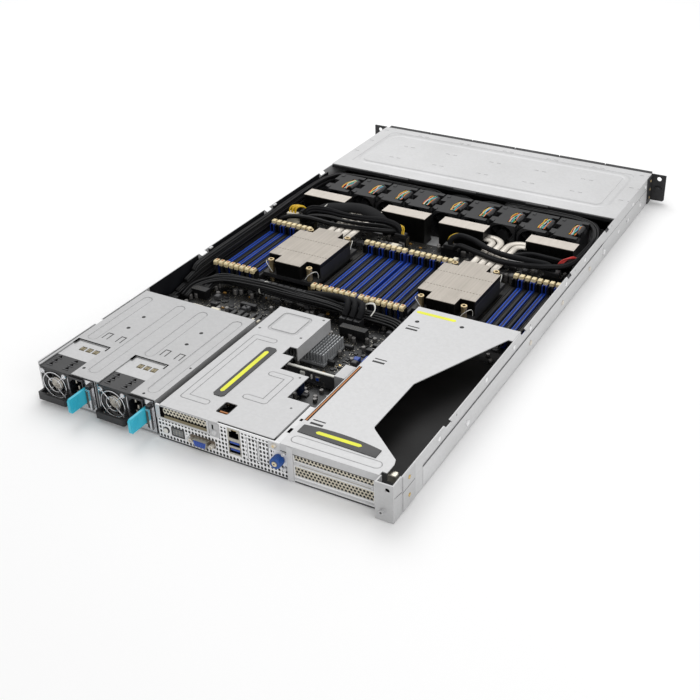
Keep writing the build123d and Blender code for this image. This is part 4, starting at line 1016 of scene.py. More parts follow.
def make_video_port():
    """The video port: a blue insert with fifteen contact holes as dark discs of painted shade, a flange
    darkened for the painted shadow round the shell, and two hexagonal posts.
    """
    x, z = -2.4, 12.0
    plug = [(z - 3.2, x - 6.0), (z + 3.2, x - 7.6), (z + 3.2, x + 7.6), (z - 3.2, x + 6.0)]
    points, faces = extruded(plug, PANEL_Y - 6.5, PANEL_Y - 5.6, "y")
    put("video_insert", points, [face[::-1] for face in faces], SIGNAL_BLUE)
    holes = [
        (x + (n - 2) * 2.3 + 0.6 * (row % 2), PANEL_Y - 6.5, z + (row - 1) * 2.0)
        for row in range(3) for n in range(5)
    ]
    # painted shade: the contact holes as dark discs
    rounds("video_contact_hole_shade", holes, [(0.5, 0.1), (0.5, -0.05), (0.1, -0.05)], CHIP, 8, "y")
    # partly painted shadow: the flange gets a dark metal tone for the shadow round the port's shell
    on_panel("video_flange_and_shadow", [(x - 15.0, x + 15.0, -0.9, 0.2, z - 3.6, z + 5.0)], RIB_METAL, 0.6)
    post = [(2.7, 0.0), (2.7, -5.2), (2.3, -5.6), (1.3, -5.6), (1.2, -4.6), (0.2, -4.6)]
    rounds("video_posts", [(x + side * 12.5, PANEL_Y, z) for side in (-1, 1)], post, NICKEL, 6, "y")


def make_panel_screws():
    """A screw on its plate, and one in the lug with a brass core."""
    on_panel("panel_screw_plate", [(8.2, 19.4, -1.3, 0.0, 24.0, 40.0)], PLAIN_STEEL)
    screw = [(3.0, 0.0), (3.0, -0.9), (2.2, -1.7), (0.7, -1.7), (0.5, -1.2), (0.1, -1.2)]
    rounds("panel_screws", [(14.2, PANEL_Y - 1.3, 29.6)], screw, RAIL_STEEL, 16, "y")
    # painted shade: a dark strip in the notch by the plate's screw
    on_panel("screw_notch_shade", [(11.6, 13.4, -1.45, -1.25, 33.0, 38.4)], GAP_SHADE)
    rounds("lug_screws", [(84.5, PANEL_Y - 1.4, 37.0)], screw, NICKEL, 16, "y")
    core = [(1.5, 0.0), (1.3, -0.3), (0.2, -0.3)]
    rounds("lug_screw_cores", [(84.5, PANEL_Y - 3.1, 37.0)], core, POST_BRASS, 12, "y")


def make_middle_slot():
    """The slot behind the middle cover: mesh above a bright folded bar, in a pale frame."""
    on_panel("middle_slot_mesh", [(-48.0, 5.6, -1.4, 0.0, 32.2, 40.6)], SLOT_MESH)
    bar = [(27.4, 1.4), (32.0, 0.4), (32.0, 0.0), (27.4, 0.0)]
    put("middle_slot_bar", *extruded([(PANEL_Y - out, level) for level, out in bar], -52.0, 5.6, "x"), KHAKI)
    shade = [(-52.6, -48.0, -1.3, 0.0, 27.4, 40.6), (-48.0, 5.6, -1.5, 0.0, 31.1, 32.7)]
    on_panel("middle_slot_shade", shade, GAP_SHADE)
    on_panel("middle_slot_frame", [
        (-56.0, 7.6, -1.9, 0.0, 25.6, 27.4), (5.6, 7.6, -1.9, 0.0, 27.4, 41.4),
        (-57.8, -52.6, -1.5, 0.0, 25.6, 41.4), (-52.6, 5.6, -1.6, -1.0, 40.6, 41.4),
    ], RAIL_STEEL, 0.2)


def make_panel_fittings():
    """The foot line of painted shadow, the cover's lug and pegs, the small display and the buttons."""
    # painted shadow: a thin black strip along the bottom of the panel, for the tray's lip in shadow
    foot_shadow = [(left, right, -0.7, 0.0, 0.0, 0.9) for left, right in ((-58.0, 98.0), (106.0, 199.0))]
    on_panel("panel_foot_shadow", foot_shadow, SOFT_BLACK)
    on_panel("cover_lug", [(78.0, 91.5, -1.4, 0.0, 32.2, 41.4)], RAIL_STEEL)
    peg = [(2.2, 0.0), (2.2, -3.0), (1.7, -3.8), (0.3, -3.8)]
    rounds("locating_pegs", [(95.3, PANEL_Y, 30.6), (95.6, PANEL_Y, 12.4)], peg, RAIL_STEEL, 14, "y")
    rim = [
        (-41.6, -25.4, 7.0, 8.6), (-41.6, -25.4, 16.4, 17.9), (-41.6, -40.0, 8.6, 16.4),
        (-27.0, -25.4, 8.6, 16.4),
    ]
    on_panel("display_rim", [(x0, x1, -0.5, 0.0, z0, z1) for x0, x1, z0, z1 in rim], INLET_GREY, 0.1)
    cells = [
        (-39.4 + 4.2 * n, -36.0 + 4.2 * n, -0.5, -0.3, z, z + 3.1) for n in range(3) for z in (9.0, 12.8)
    ]
    on_panel("display_cells", cells, GREY)
    post = [(2.3, 0.0), (2.3, -1.6), (1.8, -2.2), (0.3, -2.2)]
    rounds("small_post", [(-19.8, PANEL_Y, 10.2)], post, RAIL_STEEL, 18, "y")
    cap = [(2.9, 0.3), (2.9, -0.1), (2.2, -0.7), (0.2, -0.8)]
    rounds("button_cap", [(-48.1, PANEL_Y - 1.8, 11.4)], cap, WHITE, 18, "y", body="identify_button")
    collar = [(3.9, 0.0), (3.9, -0.3), (2.4, -0.3), (2.4, 0.0)]
    rounds("button_collar", [(-48.1, PANEL_Y, 11.4)], collar, GRAPHITE, 20, "y")


def make_thumbscrew():
    """Knurled knob: the radius swings 24 times round, with a pale core at its end."""
    sides, x, z = 96, 89.6, 22.3
    angle = np.arange(sides) * 2 * math.pi / sides
    profile = np.array([(5.6, 11.7), (6.2, 11.1), (6.2, 3.0), (5.5, 2.1), (3.4, 2.0), (3.4, 2.6)])
    knurl = 1 - 0.05 * (0.5 + 0.5 * np.cos(24 * angle))
    radius = profile[:, :1] * np.where(profile[:, :1] > 5, knurl[None], 1.0)
    y = np.repeat(profile[:, 1:], sides, 1)
    ring = np.stack([x + radius * np.cos(angle), y, z + radius * np.sin(angle)], -1)
    knob = put(
        "thumbscrew_knob", ring.reshape(-1, 3), capped_rings(len(profile), sides), KNOB_BLUE, "thumbscrew",
    )
    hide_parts("thumbscrew")
    for name, profile, finish, count in (
        ("core", [(2.9, 2.6), (2.9, 1.7), (2.4, 1.3), (0.9, 1.3), (0.9, 2.0)], KNOB_CORE, 24),
        # the dimple is a dark disc of painted shade
        ("dimple", [(1.0, 1.7), (0.8, 1.5), (0.2, 1.5)], GAP_SHADE, 12),
        ("shank", [(2.0, 19.0), (2.0, 11.6)], NICKEL, 20),
    ):
        rounds(f"thumbscrew_{name}", [(x, 0, z)], profile, finish, count, "y", body="thumbscrew")


# Riser covers
def make_cover_stripes():
    """Yellow stripes with cut corners on the three covers."""
    pieces = []
    for left, right, rear, front, top in (
        (-12.6, -7.6, 58.0, 145.0, 43.0), (114.0, 164.6, 38.6, 43.2, 43.0),
        (94.6, 144.4, 293.9, 299.1, COVER_TOP),
    ):
        cut = 2.0
        outline = [
            (left + cut, rear), (right - cut, rear), (right, rear + cut), (right, front - cut),
            (right - cut, front), (left + cut, front), (left, front - cut), (left, rear + cut),
        ]
        pieces.append(extruded(outline, top, top + 0.1, "z"))
    put("cover_stripes", *join(*pieces), YELLOW)


def make_cover_trim():
    """Board edges, card rail and brackets between the riser covers, and strips and clips by the right one."""
    edge = (54.0, 165.0, COVER_TOP, 42.25)
    slabs(
        "board_edges", [(93.2, 95.0, 54.6, 164.4, COVER_TOP, 42.3), (8.0, 17.8, 30.0, 31.6, 33.0, 41.0)],
        ORANGE,
    )
    # painted shade in the gaps beside the board edge
    slabs("board_edge_gap_shade", [(92.4, 93.2, *edge), (95.0, 95.5, *edge)], GAP_SHADE)
    bracket = [(73.0, 85.7, 144.5, 169.8, 34.5, 35.7), (73.0, 85.7, 144.5, 145.7, BOARD_TOP, 34.5)]
    slabs("card_bracket", bracket, PLAIN_STEEL, 0.2)
    slabs("card_rail_top", [(7.0, 66.0, 155.0, 158.6, 24.9, 26.2)], WHITE, 0.3)
    slabs("card_rail_face", [(7.0, 66.0, 155.6, 156.8, BOARD_TOP, 24.9)], GRAPHITE)
    slabs(
        "card_rail_blocks", [(24.0, 29.0, 153.6, 155.6, 18.0, 22.4), (37.0, 38.6, 154.0, 155.6, 16.0, 21.0)],
        WHITE, 0.3,
    )
    slabs("card_rail_port", [(43.0, 48.6, 153.8, 155.6, 14.6, 20.6)], TIN, 0.3)
    slabs("card_rail_key", [(44.2, 47.4, 153.4, 153.9, 16.0, 19.2)], SIGNAL_BLUE)
    can = [(5.2, BOARD_TOP), (5.2, 27.2), (4.8, 28.2), (4.0, 28.2), (3.8, 27.9), (0.2, 27.9)]
    rounds("large_capacitor", [(36.0, 134.0, 0)], can, CAN_BLUE, 28)
    # painted shade: a black slab on the board in the dark area under the riser card
    slabs("under_card_shade", [(44.0, 86.0, 92.0, 148.0, BOARD_TOP, 11.0)], CHIP, 0.4)
    # partly film, partly painted shade: the black film runs forward over board parts that lie in shade
    slabs("film_front_and_shade", [(98.0, 217.6, 231.4, 276.0, 11.5, 11.74)], FILM)
    # painted highlight: a pale line along the film's fold
    slabs("film_fold_highlight", [(126.0, 198.0, 275.0, 275.6, 11.74, 11.8)], KHAKI)
    slabs("slot_dividers", [
        (106.0, 193.0, 11.4, 12.0, 20.4, 24.4), (98.6, 105.4, 10.2, 12.0, 1.0, 41.0),
        (106.0, 193.0, 11.6, 12.0, 3.2, 5.4),
    ], RAIL_STEEL, 0.2)
    strip = [(84.5, 90.8, 13.0, 78.0, 40.2, 41.2), (84.5, 85.5, 13.0, 78.0, BOARD_TOP, 40.2)]
    slabs("riser_edge_strip", strip, RAIL_STEEL, 0.1)
    # painted shade in the notches of the edge strip
    slabs(
        "riser_edge_notch_shade", [(87.0, 91.0, 30.0, 38.0, 41.2, 41.25), (87.6, 91.0, 52.0, 56.0, 41.2, 41.25)],
        GAP_SHADE,
    )
    slabs("divider_line", [(112.0, 190.0, 11.3, 11.45, 22.2, 22.7)], KHAKI)
    slabs("flange_shadow", [(91.3, 199.5, 10.9, 11.0, 33.0, 33.6)], GAP_SHADE)
    slabs(
        "corner_clip", [(203.0, 212.0, 20.0, 26.0, 30.0, 38.0), (204.0, 210.0, 26.0, 30.0, 26.0, 36.0)], TIN,
        0.6,
    )


# Fans
def make_fan_leads():
    """Coloured leads that fan out over each frame's waist and dip in at both ends."""
    colours = (LEAD_YELLOW, LEAD_RED, LEAD_WHITE, LEAD_GREEN, LEAD_BLUE, LEAD_ORANGE)
    rng = np.random.default_rng(3)
    shapes = [[] for _ in colours]
    for x in FAN_X:
        for k, parts in enumerate(shapes):
            base = x + 5.6 + 1.5 * k
            a, b, c = rng.uniform(-2.0, 2.0, 3)
            lift = 41.2 + rng.uniform(0.1, 0.6)
            route = [
                (base + a * 0.4, 571.0, 40.6), (base + a, 577.0, 41.2), (base + b, 586.0, lift),
                (base + c + 1.5, 596.0, lift), (base + c * 0.4 + 2.5, 602.0, 40.8),
            ]
            parts.append(swept(smooth_route(route, 5), 1.75, sides=6))
    for k, (parts, material) in enumerate(zip(shapes, colours)):
        points, faces, uv = join_tubes(parts)
        put(f"fan_leads_{k}", points, faces, material, smooth=True, uv=uv)
    # painted shade: a dark strip on each fan frame under its leads
    slabs("fan_lead_shade", [(x + 5.0, x + 18.0, 570.0, 604.0, 40.9, 41.04) for x in FAN_X], GAP_SHADE)
    holder = [(0.2, 12.5), (2.4, 12.5), (2.9, 11.8), (2.9, -11.8), (2.4, -12.5), (0.2, -12.5)]
    rounds("fan_lead_holders", [(x + 16.6, 588.0, 39.9) for x in FAN_X], holder, BLACK, 14, "y")
    catches = [(x - 16, x - 12, y - 3, y + 3, 41.0, 41.8) for x in FAN_X for y in (566.5, 609.5)]
    slabs("fan_catches", catches, SOFT_BLACK, 0.3)


# Board parts
def free_spots(rng, areas, count, keep_off):
    """Random places inside the areas that stay off the listed rectangles."""
    area = np.array(areas, float)
    share = (area[:, 1] - area[:, 0]) * (area[:, 3] - area[:, 2])
    pick = rng.choice(len(area), count, p=share / share.sum())
    u, v = rng.random((2, count))
    x = area[pick, 0] + u * (area[pick, 1] - area[pick, 0])
    y = area[pick, 2] + v * (area[pick, 3] - area[pick, 2])
    x, y = np.round(x / 2.5) * 2.5, np.round(y / 2.5) * 2.5
    spots = np.unique(np.stack([x, y], 1), axis=0)
    spots = spots[rng.permutation(len(spots))]
    off = np.array(keep_off, float)
    hit = (spots[:, None, 0] > off[None, :, 0]) & (spots[:, None, 0] < off[None, :, 1])
    hit &= (spots[:, None, 1] > off[None, :, 2]) & (spots[:, None, 1] < off[None, :, 3])
    return spots[~hit.any(1)]


def on_board(spots, half_x, half_y, height):
    """Rows for blocks of one size that stand on the mainboard at the spots."""
    x, y = spots[:, 0], spots[:, 1]
    level = np.full(len(spots), BOARD_TOP)
    return np.column_stack([x - half_x, x + half_x, y - half_y, y + half_y, level, level + height])


def make_small_parts():
    """The scattered parts of the mainboard, each kind a share of the same random places."""
    rng = np.random.default_rng(7)
    areas = [
        (-206, 210, 208, 308), (-206, 210, 462, 516), (-48, 86, 60, 206), (-48, 206, 18, 60),
        (20, 90, 120, 260),
    ]
    keep_off = [(-19, 35, 187, 239), (-210, -58, 0, 206), (97, 219, 200, 279)]
    spots = free_spots(rng, areas, 5200, keep_off)
    tiny, chips, cans, chokes, sockets, tantalums, _ = np.split(spots, (1500, 1900, 2060, 2110, 2150, 2230))
    half = len(tiny) // 2
    resistors = np.concatenate([on_board(tiny[:half], 0.8, 0.4, 0.6), on_board(tiny[half:], 0.4, 0.9, 0.7)])
    slabs("board_resistors", resistors, TIN)
    slabs("board_chips", on_board(chips, 2.2, 1.7, 1.2), CHIP, 0.2)
    can = [(2.5, BOARD_TOP), (2.5, 14.0), (2.2, 14.6), (1.6, 14.5), (0.3, 14.5)]
    rounds("board_capacitors", [(x, y, 0) for x, y in cans], can, CAN_METAL, 12)
    slabs("board_chokes", on_board(chokes, 3.3, 3.3, 5.0), CHOKE_GREY, 0.7)
    slabs("board_sockets_low", on_board(sockets, 5.0, 2.0, 4.5), SOFT_BLACK, 0.4)
    slabs("board_tantalums", on_board(tantalums, 1.8, 1.1, 1.6), TANTALUM, 0.3)


def make_board_parts():
    """The mainboard's larger parts: chokes and cans by the processors, plug headers and fixing rings."""
    stages = [(x + 9.2 * (n - 4.5), y) for x in (-105, 106) for y in (320, 476) for n in range(10)]
    slabs("supply_chokes", on_board(np.array(stages), 4, 4, 7.0), CHOKE_GREY, 0.8)
    cans = [
        (x + 7.0 * n, y, 0) for x, y in ((-52, 470), (-52, 482), (-24, 472), (120, 470)) for n in range(5)
    ]
    can = [(3.1, BOARD_TOP), (3.1, 18.0), (2.8, 18.8), (2.2, 18.7), (0.3, 18.7)]
    rounds("supply_capacitors", cans, can, CAN_METAL, 14)
    for name, finish, cut, rows in (
        (
            "blue", SIGNAL_BLUE, 0.4,
            [(55, 62, 214, 221, 13.0), (-150, -128, 214, 219, 18.0), (67, 70, 212, 226, 14.0)],
        ),
        ("white", CREAM, 0.6, [
            (-172, -158, 214, 226, 22), (-152, -140, 226, 236, 17), (-98, -84, 232, 238, 15),
            (-34, -24, 470, 480, 22), (56, 62, 474, 482, 20), (150, 158, 468, 476, 18),
            (168, 174, 464, 470, 19),
        ]),
        ("black", BLACK, 0.5, [
            *(
                (x, x + 5.4, 214 + 2 * (n % 3), 244 + 3 * (n % 2), 15.5)
                for n, x in enumerate(np.arange(-126, -58, 8.6))
            ),
            *(
                (x, x + 22, y, y + 5.4, 14.5)
                for x, y in ((60, 236), (62, 248), (-50, 250), (-80, 262), (-130, 262))
            ),
        ]),
    ):
        slabs(f"board_sockets_{name}", [(*row[:4], BOARD_TOP, row[4]) for row in rows], finish, cut)
    slabs("lead_plug_left", [(-186.5, -165.5, 486.5, 497.5, 19.4, 26.5)], BLACK, 0.8)
    tall = [(-199.0, -184.0, 478.0, 486.5, BOARD_TOP, 33.0), (-200.0, -183.0, 477.0, 487.5, BOARD_TOP, 20.0)]
    slabs("tall_plug", tall, CREAM, 0.8)
    plugs = [
        (-42, -26, 500.5, 509.5, 19.4, 25), (31, 49, 500.5, 509.5, 19.4, 25),
        (178, 198, 486.5, 497.5, 19.4, 26),
    ]
    slabs("lead_plugs", plugs, BLACK, 0.8)
    holes = [
        (x, y, 0) for x, y in ((-45, 196), (45, 200), (70, 160), (76, 110), (-30, 226), (80, 250), (200, 240))
    ]
    ring = [(3.4, BOARD_TOP), (3.4, 8.62), (1.9, 8.62), (1.9, 8.55), (0.2, 8.55)]
    rounds("board_fixing_rings", holes, ring, BRASS, 18)


def make_pin_cooler():
    """The middle heat sink: rows of upright blades cut across into pins."""
    corners = [(-15.3 + 3.85 * column, 190.2 + 5.15 * row) for column in range(13) for row in range(9)]
    pins = [(x - 0.6, x + 0.6, y, y + 4.0, 11, 24) for x, y in corners]
    base = [(-16.0, 32.0, 190.0, 236.0, BOARD_TOP, 11.5)]
    piece = put("chipset_pins", *join(blocks(pins, 0.1), blocks(base, 0.2)), PIN_GREY, slot="fins")
    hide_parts("chipset_cooler")


# Cable looms
def make_rear_looms():
    """The loom behind the processors, with three sleeved arches that drop into its plugs."""
    first = loom("rear_loom", [
        (-188.5, 268, 16), (-188.5, 284, 19), (-180, 297, 20), (-150, 301, 20), (-100, 300, 20),
        (-50, 299, 19), (0, 299, 19), (40, 300, 18), (66, 298, 17), (78, 290, 16), (80, 282, 16),
    ], 19, 20.0, 11.0, 2.8, LEAD_BLACK, 2)
    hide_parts("cables")
    loom("rear_loom_upper", [
        (-204, 246, 14), (-200, 270, 20), (-172, 290, 25), (-120, 294, 27), (-66, 292, 27), (-20, 290, 27),
        (12, 288, 24),
    ], 9, 16.0, 6.0, 2.6, LEAD_BLACK, 3)
    middles = (8.0, 17.5, 27.0)
    for n, x in enumerate(middles):
        arch = [(-58 + 6 * n, 300, 26), (-26 + 7 * n, 301, 31), (x - 8, 297, 34), (x, 287, 31), (x, 279, 23)]
        cord(f"plug_sleeve_{n}", arch, 8.2, SLEEVE)
    slabs("loom_plugs", [(x - 4.2, x + 4.2, 272, 284, BOARD_TOP, 23.5) for x in middles], BLACK, 0.5)


def make_wall_looms():
    """Four looms one over the other along the left wall; the upper three turn in behind the fans."""
    wall = [(-213.2, 234, 14), *((-213, y, 14) for y in (300, 400, 500, 600, 686))]
    loom("wall_loom", wall, 7, 9.6, 9.6, 3.2, LEAD_BLACK, 4)
    for n, (level, inset, seed) in enumerate(((22.0, 0.0, 5), (29.0, 1.0, 6), (35.0, 0.0, 7))):
        x, low = -213.4 + inset, min(level, 34)
        route = [
            (x, 246 + 18 * n, level - 5), (x, 300, level), (x + 1, 380, level + 1), (x, 460, level),
            (x, 540, level + 0.5), (x + 1, 586, level), (x + 6, 612, level - 1), (x + 24, 628, low),
            (x + 60 + 24 * n, 631, low + n - 1), (x + 110 + 30 * n, 634, 33),
        ]
        loom(f"wall_loom_{n + 2}", route, 7, 9.0, 7.5, 3.0, LEAD_BLACK, seed)


def make_processor_looms():
    """The looms in front of the processors, and those along the right wall and behind the drives."""
    loom("left_lead", [
        (-176, 492, 20), (-176, 493, 30), (-168, 499, 35), (-146, 503, 35), (-117, 500, 35), (-88, 502, 35),
        (-60, 508, 35), (-42, 508, 32), (-34, 505, 26), (-34, 505, 20),
    ], 5, 12.0, 7.0, 3.9, SLEEVE, 21)
    loom("left_lead_lower", [
        (-206, 470, 24), (-190, 476, 30), (-160, 480, 31), (-120, 477, 31), (-84, 482, 31), (-56, 495, 28),
        (-40, 512, 22), (-30, 518, 12),
    ], 9, 12.0, 7.0, 2.8, LEAD_BLACK, 8)
    loom("left_lead_middle", [
        (-178, 484, 20), (-166, 487, 30), (-140, 490, 33), (-110, 489, 33), (-84, 492, 33), (-60, 502, 31),
        (-46, 511, 24),
    ], 7, 11.0, 6.0, 2.8, LEAD_BLACK, 10)
    cord("wide_sleeve", [
        (-166, 508, 29), (-156, 512, 34), (-138, 517, 36.4), (-122, 524, 36.8), (-104, 526, 36.8),
        (-86, 521, 36.4), (-72, 516, 33), (-62, 513, 26),
    ], 17.0, SLEEVE, height=7.0, sides=20)
    cord("right_lead", [
        (40, 505, 20), (40, 506, 31), (50, 512, 36), (72, 508, 36), (96, 496, 35), (124, 488, 35),
        (156, 488, 35), (180, 493, 32), (188, 492, 26), (188, 492, 20),
    ], 7.4, SLEEVE)
    loom("right_lead_lower", [
        (46, 500, 20), (56, 496, 30), (84, 484, 33), (120, 474, 33), (150, 476, 33), (182, 486, 33),
        (204, 500, 34), (211, 540, 34), (209, 590, 34), (198, 622, 35), (170, 634, 35),
    ], 3, 10.5, 7.0, 4.2, SLEEVE, 23)
    loom("right_lead_wide", [
        (128, 508, 26), (150, 512, 31), (176, 510, 32), (198, 514, 30), (209, 536, 28), (211, 580, 28),
        (204, 614, 29), (184, 630, 30), (150, 634, 31),
    ], 4, 11.0, 8.0, 4.2, SLEEVE, 22)
    loom("right_front_loom", [
        (64, 636, 34), (96, 632, 36), (140, 630, 37), (176, 627, 37), (198, 616, 36), (210, 592, 34),
        (212, 556, 30), (212, 524, 24),
    ], 9, 12.0, 8.0, 2.8, LEAD_BLACK, 9)
    wave = np.array([0, 3, -2, 3, -2, 2, 0])
    for n, (left, right, y) in enumerate(((-190, -66, 625), (-70, 66, 630), (66, 150, 624))):
        route = np.stack([np.linspace(left, right, 7), y + wave, 31 + 0.6 * wave + n], 1)
        loom(f"front_loom_{n}", route, 5, 9.0, 6.0, 2.6, LEAD_BLACK, 12 + n)


def make_thin_leads():
    """Single yellow and red leads at the processors' plugs."""
    for n in range(5):
        x, y = -196.0 + 2.4 * n, 481.0 + 1.6 * (n % 2)
        cord(f"yellow_lead_{n}", [
            (x, y, 28), (x, y + 0.5, 35), (x + 0.8, y + 2, 39.0), (x + 3, y + 6, 41.0), (x + 6, y + 11, 39.5),
            (x + 8, y + 15, 36),
        ], 1.9, LEAD_YELLOW, sides=8)
    for n in range(3):
        end = [(36 + 3 * n, 507, 22), (36 + 3 * n, 508, 32), (44 + 2 * n, 513, 37.5), (56 + 2 * n, 513, 38)]
        cord(f"yellow_end_{n}", end, 1.6, LEAD_YELLOW, sides=8)
        x = -34 + 2.4 * n
        middle = [(-46 + 3 * n, 512, 33), (-38 + 3 * n, 509, 32), (x, 503, 26), (x, 502, 20)]
        cord(f"yellow_mid_{n}", middle, 1.6, LEAD_YELLOW, sides=8)
    for n in range(4):
        route = [
            (190 + 1.5 * n, 500, 28), (194 + 1.5 * n, 504 + n, 35), (202 + n, 510 + 2 * n, 38),
            (211, 524, 34 - n),
        ]
        cord(f"red_lead_{n}", route, 2.0, LEAD_RED, sides=8)


def make_cable_ties():
    """White ties round the looms, one with its loose tail."""
    angle = np.linspace(0, 2 * math.pi, 28, endpoint=False)
    ties = [((-120, 300, 20), 20.5, 12.0), ((20, 299.5, 19.5), 20.5, 12.0), ((-155, 512.4, 34.4), 18.4, 8.4)]
    for n, (centre, wide, tall) in enumerate(ties):
        loop = np.array(centre) + np.stack([0 * angle, wide / 2 * np.cos(angle), tall / 2 * np.sin(angle)], 1)
        tube(f"cable_tie_{n}", loop, 2.4, WHITE, height=0.9, sides=8, closed=True)
    tail = [(20, 306, 25), (26, 302, 32), (38, 296, 38), (44, 288, 36), (42, 281, 30)]
    cord("cable_tie_tail", tail, 2.6, WHITE, height=1.0, sides=8)


# Enclosure details
def make_films():
    """Black sheets inside both walls, partly insulating film and partly painted shade on the walls' inner
    faces, their faint blue a painted sheen; the lid-hook lips, and the lip and tabs along the bay cover.
    """
    film = [(-218.55, -218.3, 204.0, 624.0, 8.6, 35.4), (218.3, 218.55, 330.0, 624.0, 8.6, 41.0)]
    film += [
        (-218.55, -218.3, start, end, 35.4, 42.4)
        for start, end in ((204, 301.5), (323.5, 451.5), (473.5, 598.5))
    ]
    slabs("wall_films_and_shade", film, WALL_FILM_AND_SHADE)
    slabs(
        "lid_hook_lips", [(-218.3, -215.6, y, y + 6.5, 40.8, 42.4) for y in (473.5, 323.5)], RAIL_STEEL, 0.2,
    )
    slabs("bay_cover_lip", [(-218.5, 218.5, 636.6, 639.5, 38.0, 42.6)], BLACK, 0.3)
    tabs = [(left, right, 633.5, 640.5, 41.4, 43.1) for left, right in ((-121, -90), (-17, 18), (93, 126))]
    slabs("bay_cover_tabs", tabs, SOFT_BLACK, 0.4)


def slide_member():
    """The rail member on the +x wall: a strip with rolled edges, bevelled at its front end."""
    section = np.array([(3.6, 0.0), (3.6, 0.7), (4.6, 1.1), (23.6, 1.1), (24.8, 0.7), (24.8, 0.0)])
    stations = np.array([(60.0, 0.35), (61.2, 1.0), (588.0, 1.0), (594.0, 0.25)])
    middle = 14.2
    x = WALL_X + section[None, :, 1] * stations[:, None, 1]
    z = middle + (section[None, :, 0] - middle) * (1 - 0.02 * (stations[:, None, 1] < 0.5))
    ring = np.stack(np.broadcast_arrays(x, stations[:, None, 0], z), -1)
    return ring.reshape(-1, 3), [face[::-1] for face in capped_rings(len(stations), len(section))]


def make_wall_details():
    """What lies on the outer walls, drawn for the +x side and mirrored for the other."""
    # painted shade: a dark grey line along each wall for its groove
    groove_shade = [(WALL_X, 219.95, 60.0, 592.0, 24.9, 25.7), (WALL_X, 219.9, 592.0, 800.0, 24.9, 25.3)]
    plates = [(WALL_X, 220.7, 18.0, 43.0, 1.5, 23.6), (WALL_X, 220.7, 18.0, 43.0, 24.8, 41.8)]
    dimples = [
        (96, 34), (210, 36), (286, 34), (335, 33), (452, 34), (520, 36), (664, 14), (707, 13), (724, 30),
        (765, 13), (785, 33),
    ]
    overlay_rivet = [(2.3, 0.0), (2.1, 0.5), (1.0, 0.8), (0.2, 0.8)]
    rail_head = [(3.0, 0.0), (3.0, 1.0), (2.2, 1.5), (0.3, 1.5)]
    shapes = (
        ("slide_member", slide_member(), RAIL_STEEL, False),
        ("wall_groove_shade", blocks(groove_shade), GRAPHITE, False),
        ("wall_overlay", blocks(plates), PLAIN_STEEL, False),
        (
            "overlay_rivets", turned([(220.6, 30.5, z) for z in (34.0, 13.0)], overlay_rivet, 16, "x"), BRASS,
            True,
        ),
        # painted highlight: the dimples are made pale for their shine
        ("wall_dimple_highlights", turned(
            [(WALL_X, y, z) for y, z in dimples], [(3.2, 0.0), (2.4, 0.7), (0.1, 0.85)], 18, "x",
        ), PALE_STEEL_AND_HIGHLIGHT, True),
        (
            "rail_heads", turned([(220.75, y, 14.0) for y in (335, 440, 540)], rail_head, 16, "x"), NICKEL,
            False,
        ),
        ("ear_rivets", turned(
            [(221.2, 806, z) for z in (9, 22, 35)], [(2.3, 0.0), (1.9, 0.6), (0.2, 0.9)], 14, "x",
        ), POST_BRASS, True),
    )
    cup = [(5.2, -1.6), (5.2, 1.6), (3.9, 1.6), (3.6, -1.2), (0.3, -1.2)]
    for name, side in (("left", -1), ("right", 1)):
        for piece, (points, faces), finish, smooth in shapes:
            outward = faces if side > 0 else [face[::-1] for face in faces]
            put(f"{piece}_{name}", points * (side, 1, 1), outward, finish, smooth=smooth)
        rounds(f"ear_cup_{name}", [(side * 231.5, 811.4, 20.8)], cup, BLACK, 20, "y")


make_contact_strips()
make_coolers()
make_heat_pipes()
make_cooler_posts()
for supply in (0, 1):
    make_supply_fan(supply)
    make_supply_edges(supply)
    make_supply_top(supply)
    make_supply_inlet(supply)
    make_supply_latch(supply)
make_port_stack()
make_video_port()
make_panel_screws()
make_middle_slot()
make_panel_fittings()
make_thumbscrew()
make_cover_stripes()
make_cover_trim()
make_fan_leads()
make_small_parts()
make_board_parts()
make_pin_cooler()
make_memory_latches()
make_rear_looms()
make_wall_looms()
make_processor_looms()
make_thin_leads()
make_cable_ties()
make_films()
make_wall_details()


# Studio
def make_floor():
    """A wide plain floor, near white with a faint mottle."""
    size = 6.0
    mesh = bpy.data.meshes.new("studio_floor")
    mesh.from_pydata(
        [(-size, -size, 0), (size, -size, 0), (size, size, 0), (-size, size, 0)], [], [(0, 1, 2, 3)],
    )
    floor = bpy.data.objects.new("studio_floor", mesh)
    bpy.context.scene.collection.objects.link(floor)
    floor.location.z = -0.0005
    f = Finish("studio_floor", Roughness=0.9)
    f.colour(f.mix(f.noise(0.002), tone(250, 250, 250), tone(253, 253, 253)))
    mesh.materials.append(f.material)


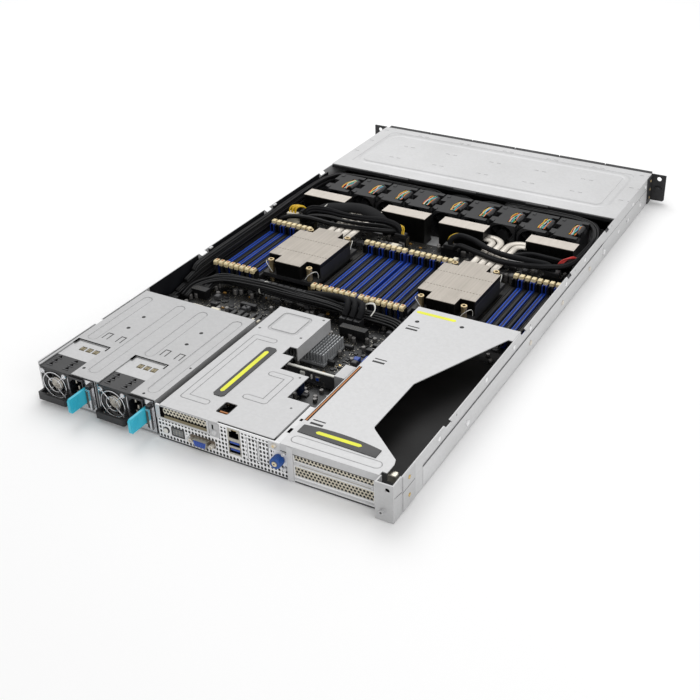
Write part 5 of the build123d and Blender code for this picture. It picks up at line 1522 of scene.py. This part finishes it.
def make_world():
    """Even pale sky, white where the camera sees it directly."""
    world = bpy.data.worlds.new("studio")
    world.use_nodes = True
    bpy.context.scene.world = world
    tree = world.node_tree
    sky = tree.nodes["Background"]
    sky.inputs["Color"].default_value = (1, 1, 1, 1)
    seen = tree.nodes.new("ShaderNodeLightPath")
    level = tree.nodes.new("ShaderNodeMapRange")
    level.inputs["To Min"].default_value = 0.62
    level.inputs["To Max"].default_value = 1.0
    tree.links.new(seen.outputs["Is Camera Ray"], level.inputs["Value"])
    tree.links.new(level.outputs[0], sky.inputs["Strength"])


def make_lamp(name, place_at, size, power):
    """A square lamp that looks at the origin."""
    lamp = bpy.data.lights.new(name, "AREA")
    lamp.size = size
    lamp.energy = power
    obj = bpy.data.objects.new(name, lamp)
    bpy.context.scene.collection.objects.link(obj)
    obj.location = place_at
    obj.rotation_mode = "QUATERNION"
    obj.rotation_quaternion = (-Vector(place_at)).to_track_quat("-Z", "Y")


def make_camera():
    """The photograph's view, from its own solved angle, distance, lens and image centre."""
    azimuth, elevation, roll = (math.radians(a) for a in (27.624, 30.516, -0.428))
    distance = 1323.912
    target = Vector((61.4815, 320.2503 - MIDDLE_Y, 0.0))
    back = Vector((math.sin(azimuth), -math.cos(azimuth), math.tan(elevation))) * math.cos(elevation)
    level_right = Vector((0, 0, 1)).cross(back).normalized()
    level_up = back.cross(level_right)
    right = math.cos(roll) * level_right + math.sin(roll) * level_up
    up = math.cos(roll) * level_up - math.sin(roll) * level_right
    lens = bpy.data.cameras.new("photo_camera")
    lens.sensor_width = 36.0
    lens.lens = 56.757
    lens.shift_x = -0.0730
    lens.shift_y = -0.0326
    lens.clip_start, lens.clip_end = 0.05, 20.0
    camera = bpy.data.objects.new("photo_camera", lens)
    bpy.context.scene.collection.objects.link(camera)
    turn = Matrix((right, up, back)).transposed().to_4x4()
    camera.matrix_world = Matrix.Translation((target + back * distance) * MM) @ turn
    bpy.context.scene.camera = camera


make_floor()
make_world()
make_lamp("key_lamp", (-0.7, 0.9, 1.9), 1.8, 26.0)
make_lamp("fill_lamp", (1.9, -0.9, 1.2), 1.6, 13.0)
make_camera()

view = bpy.context.scene.view_settings
view.view_transform = "Standard"
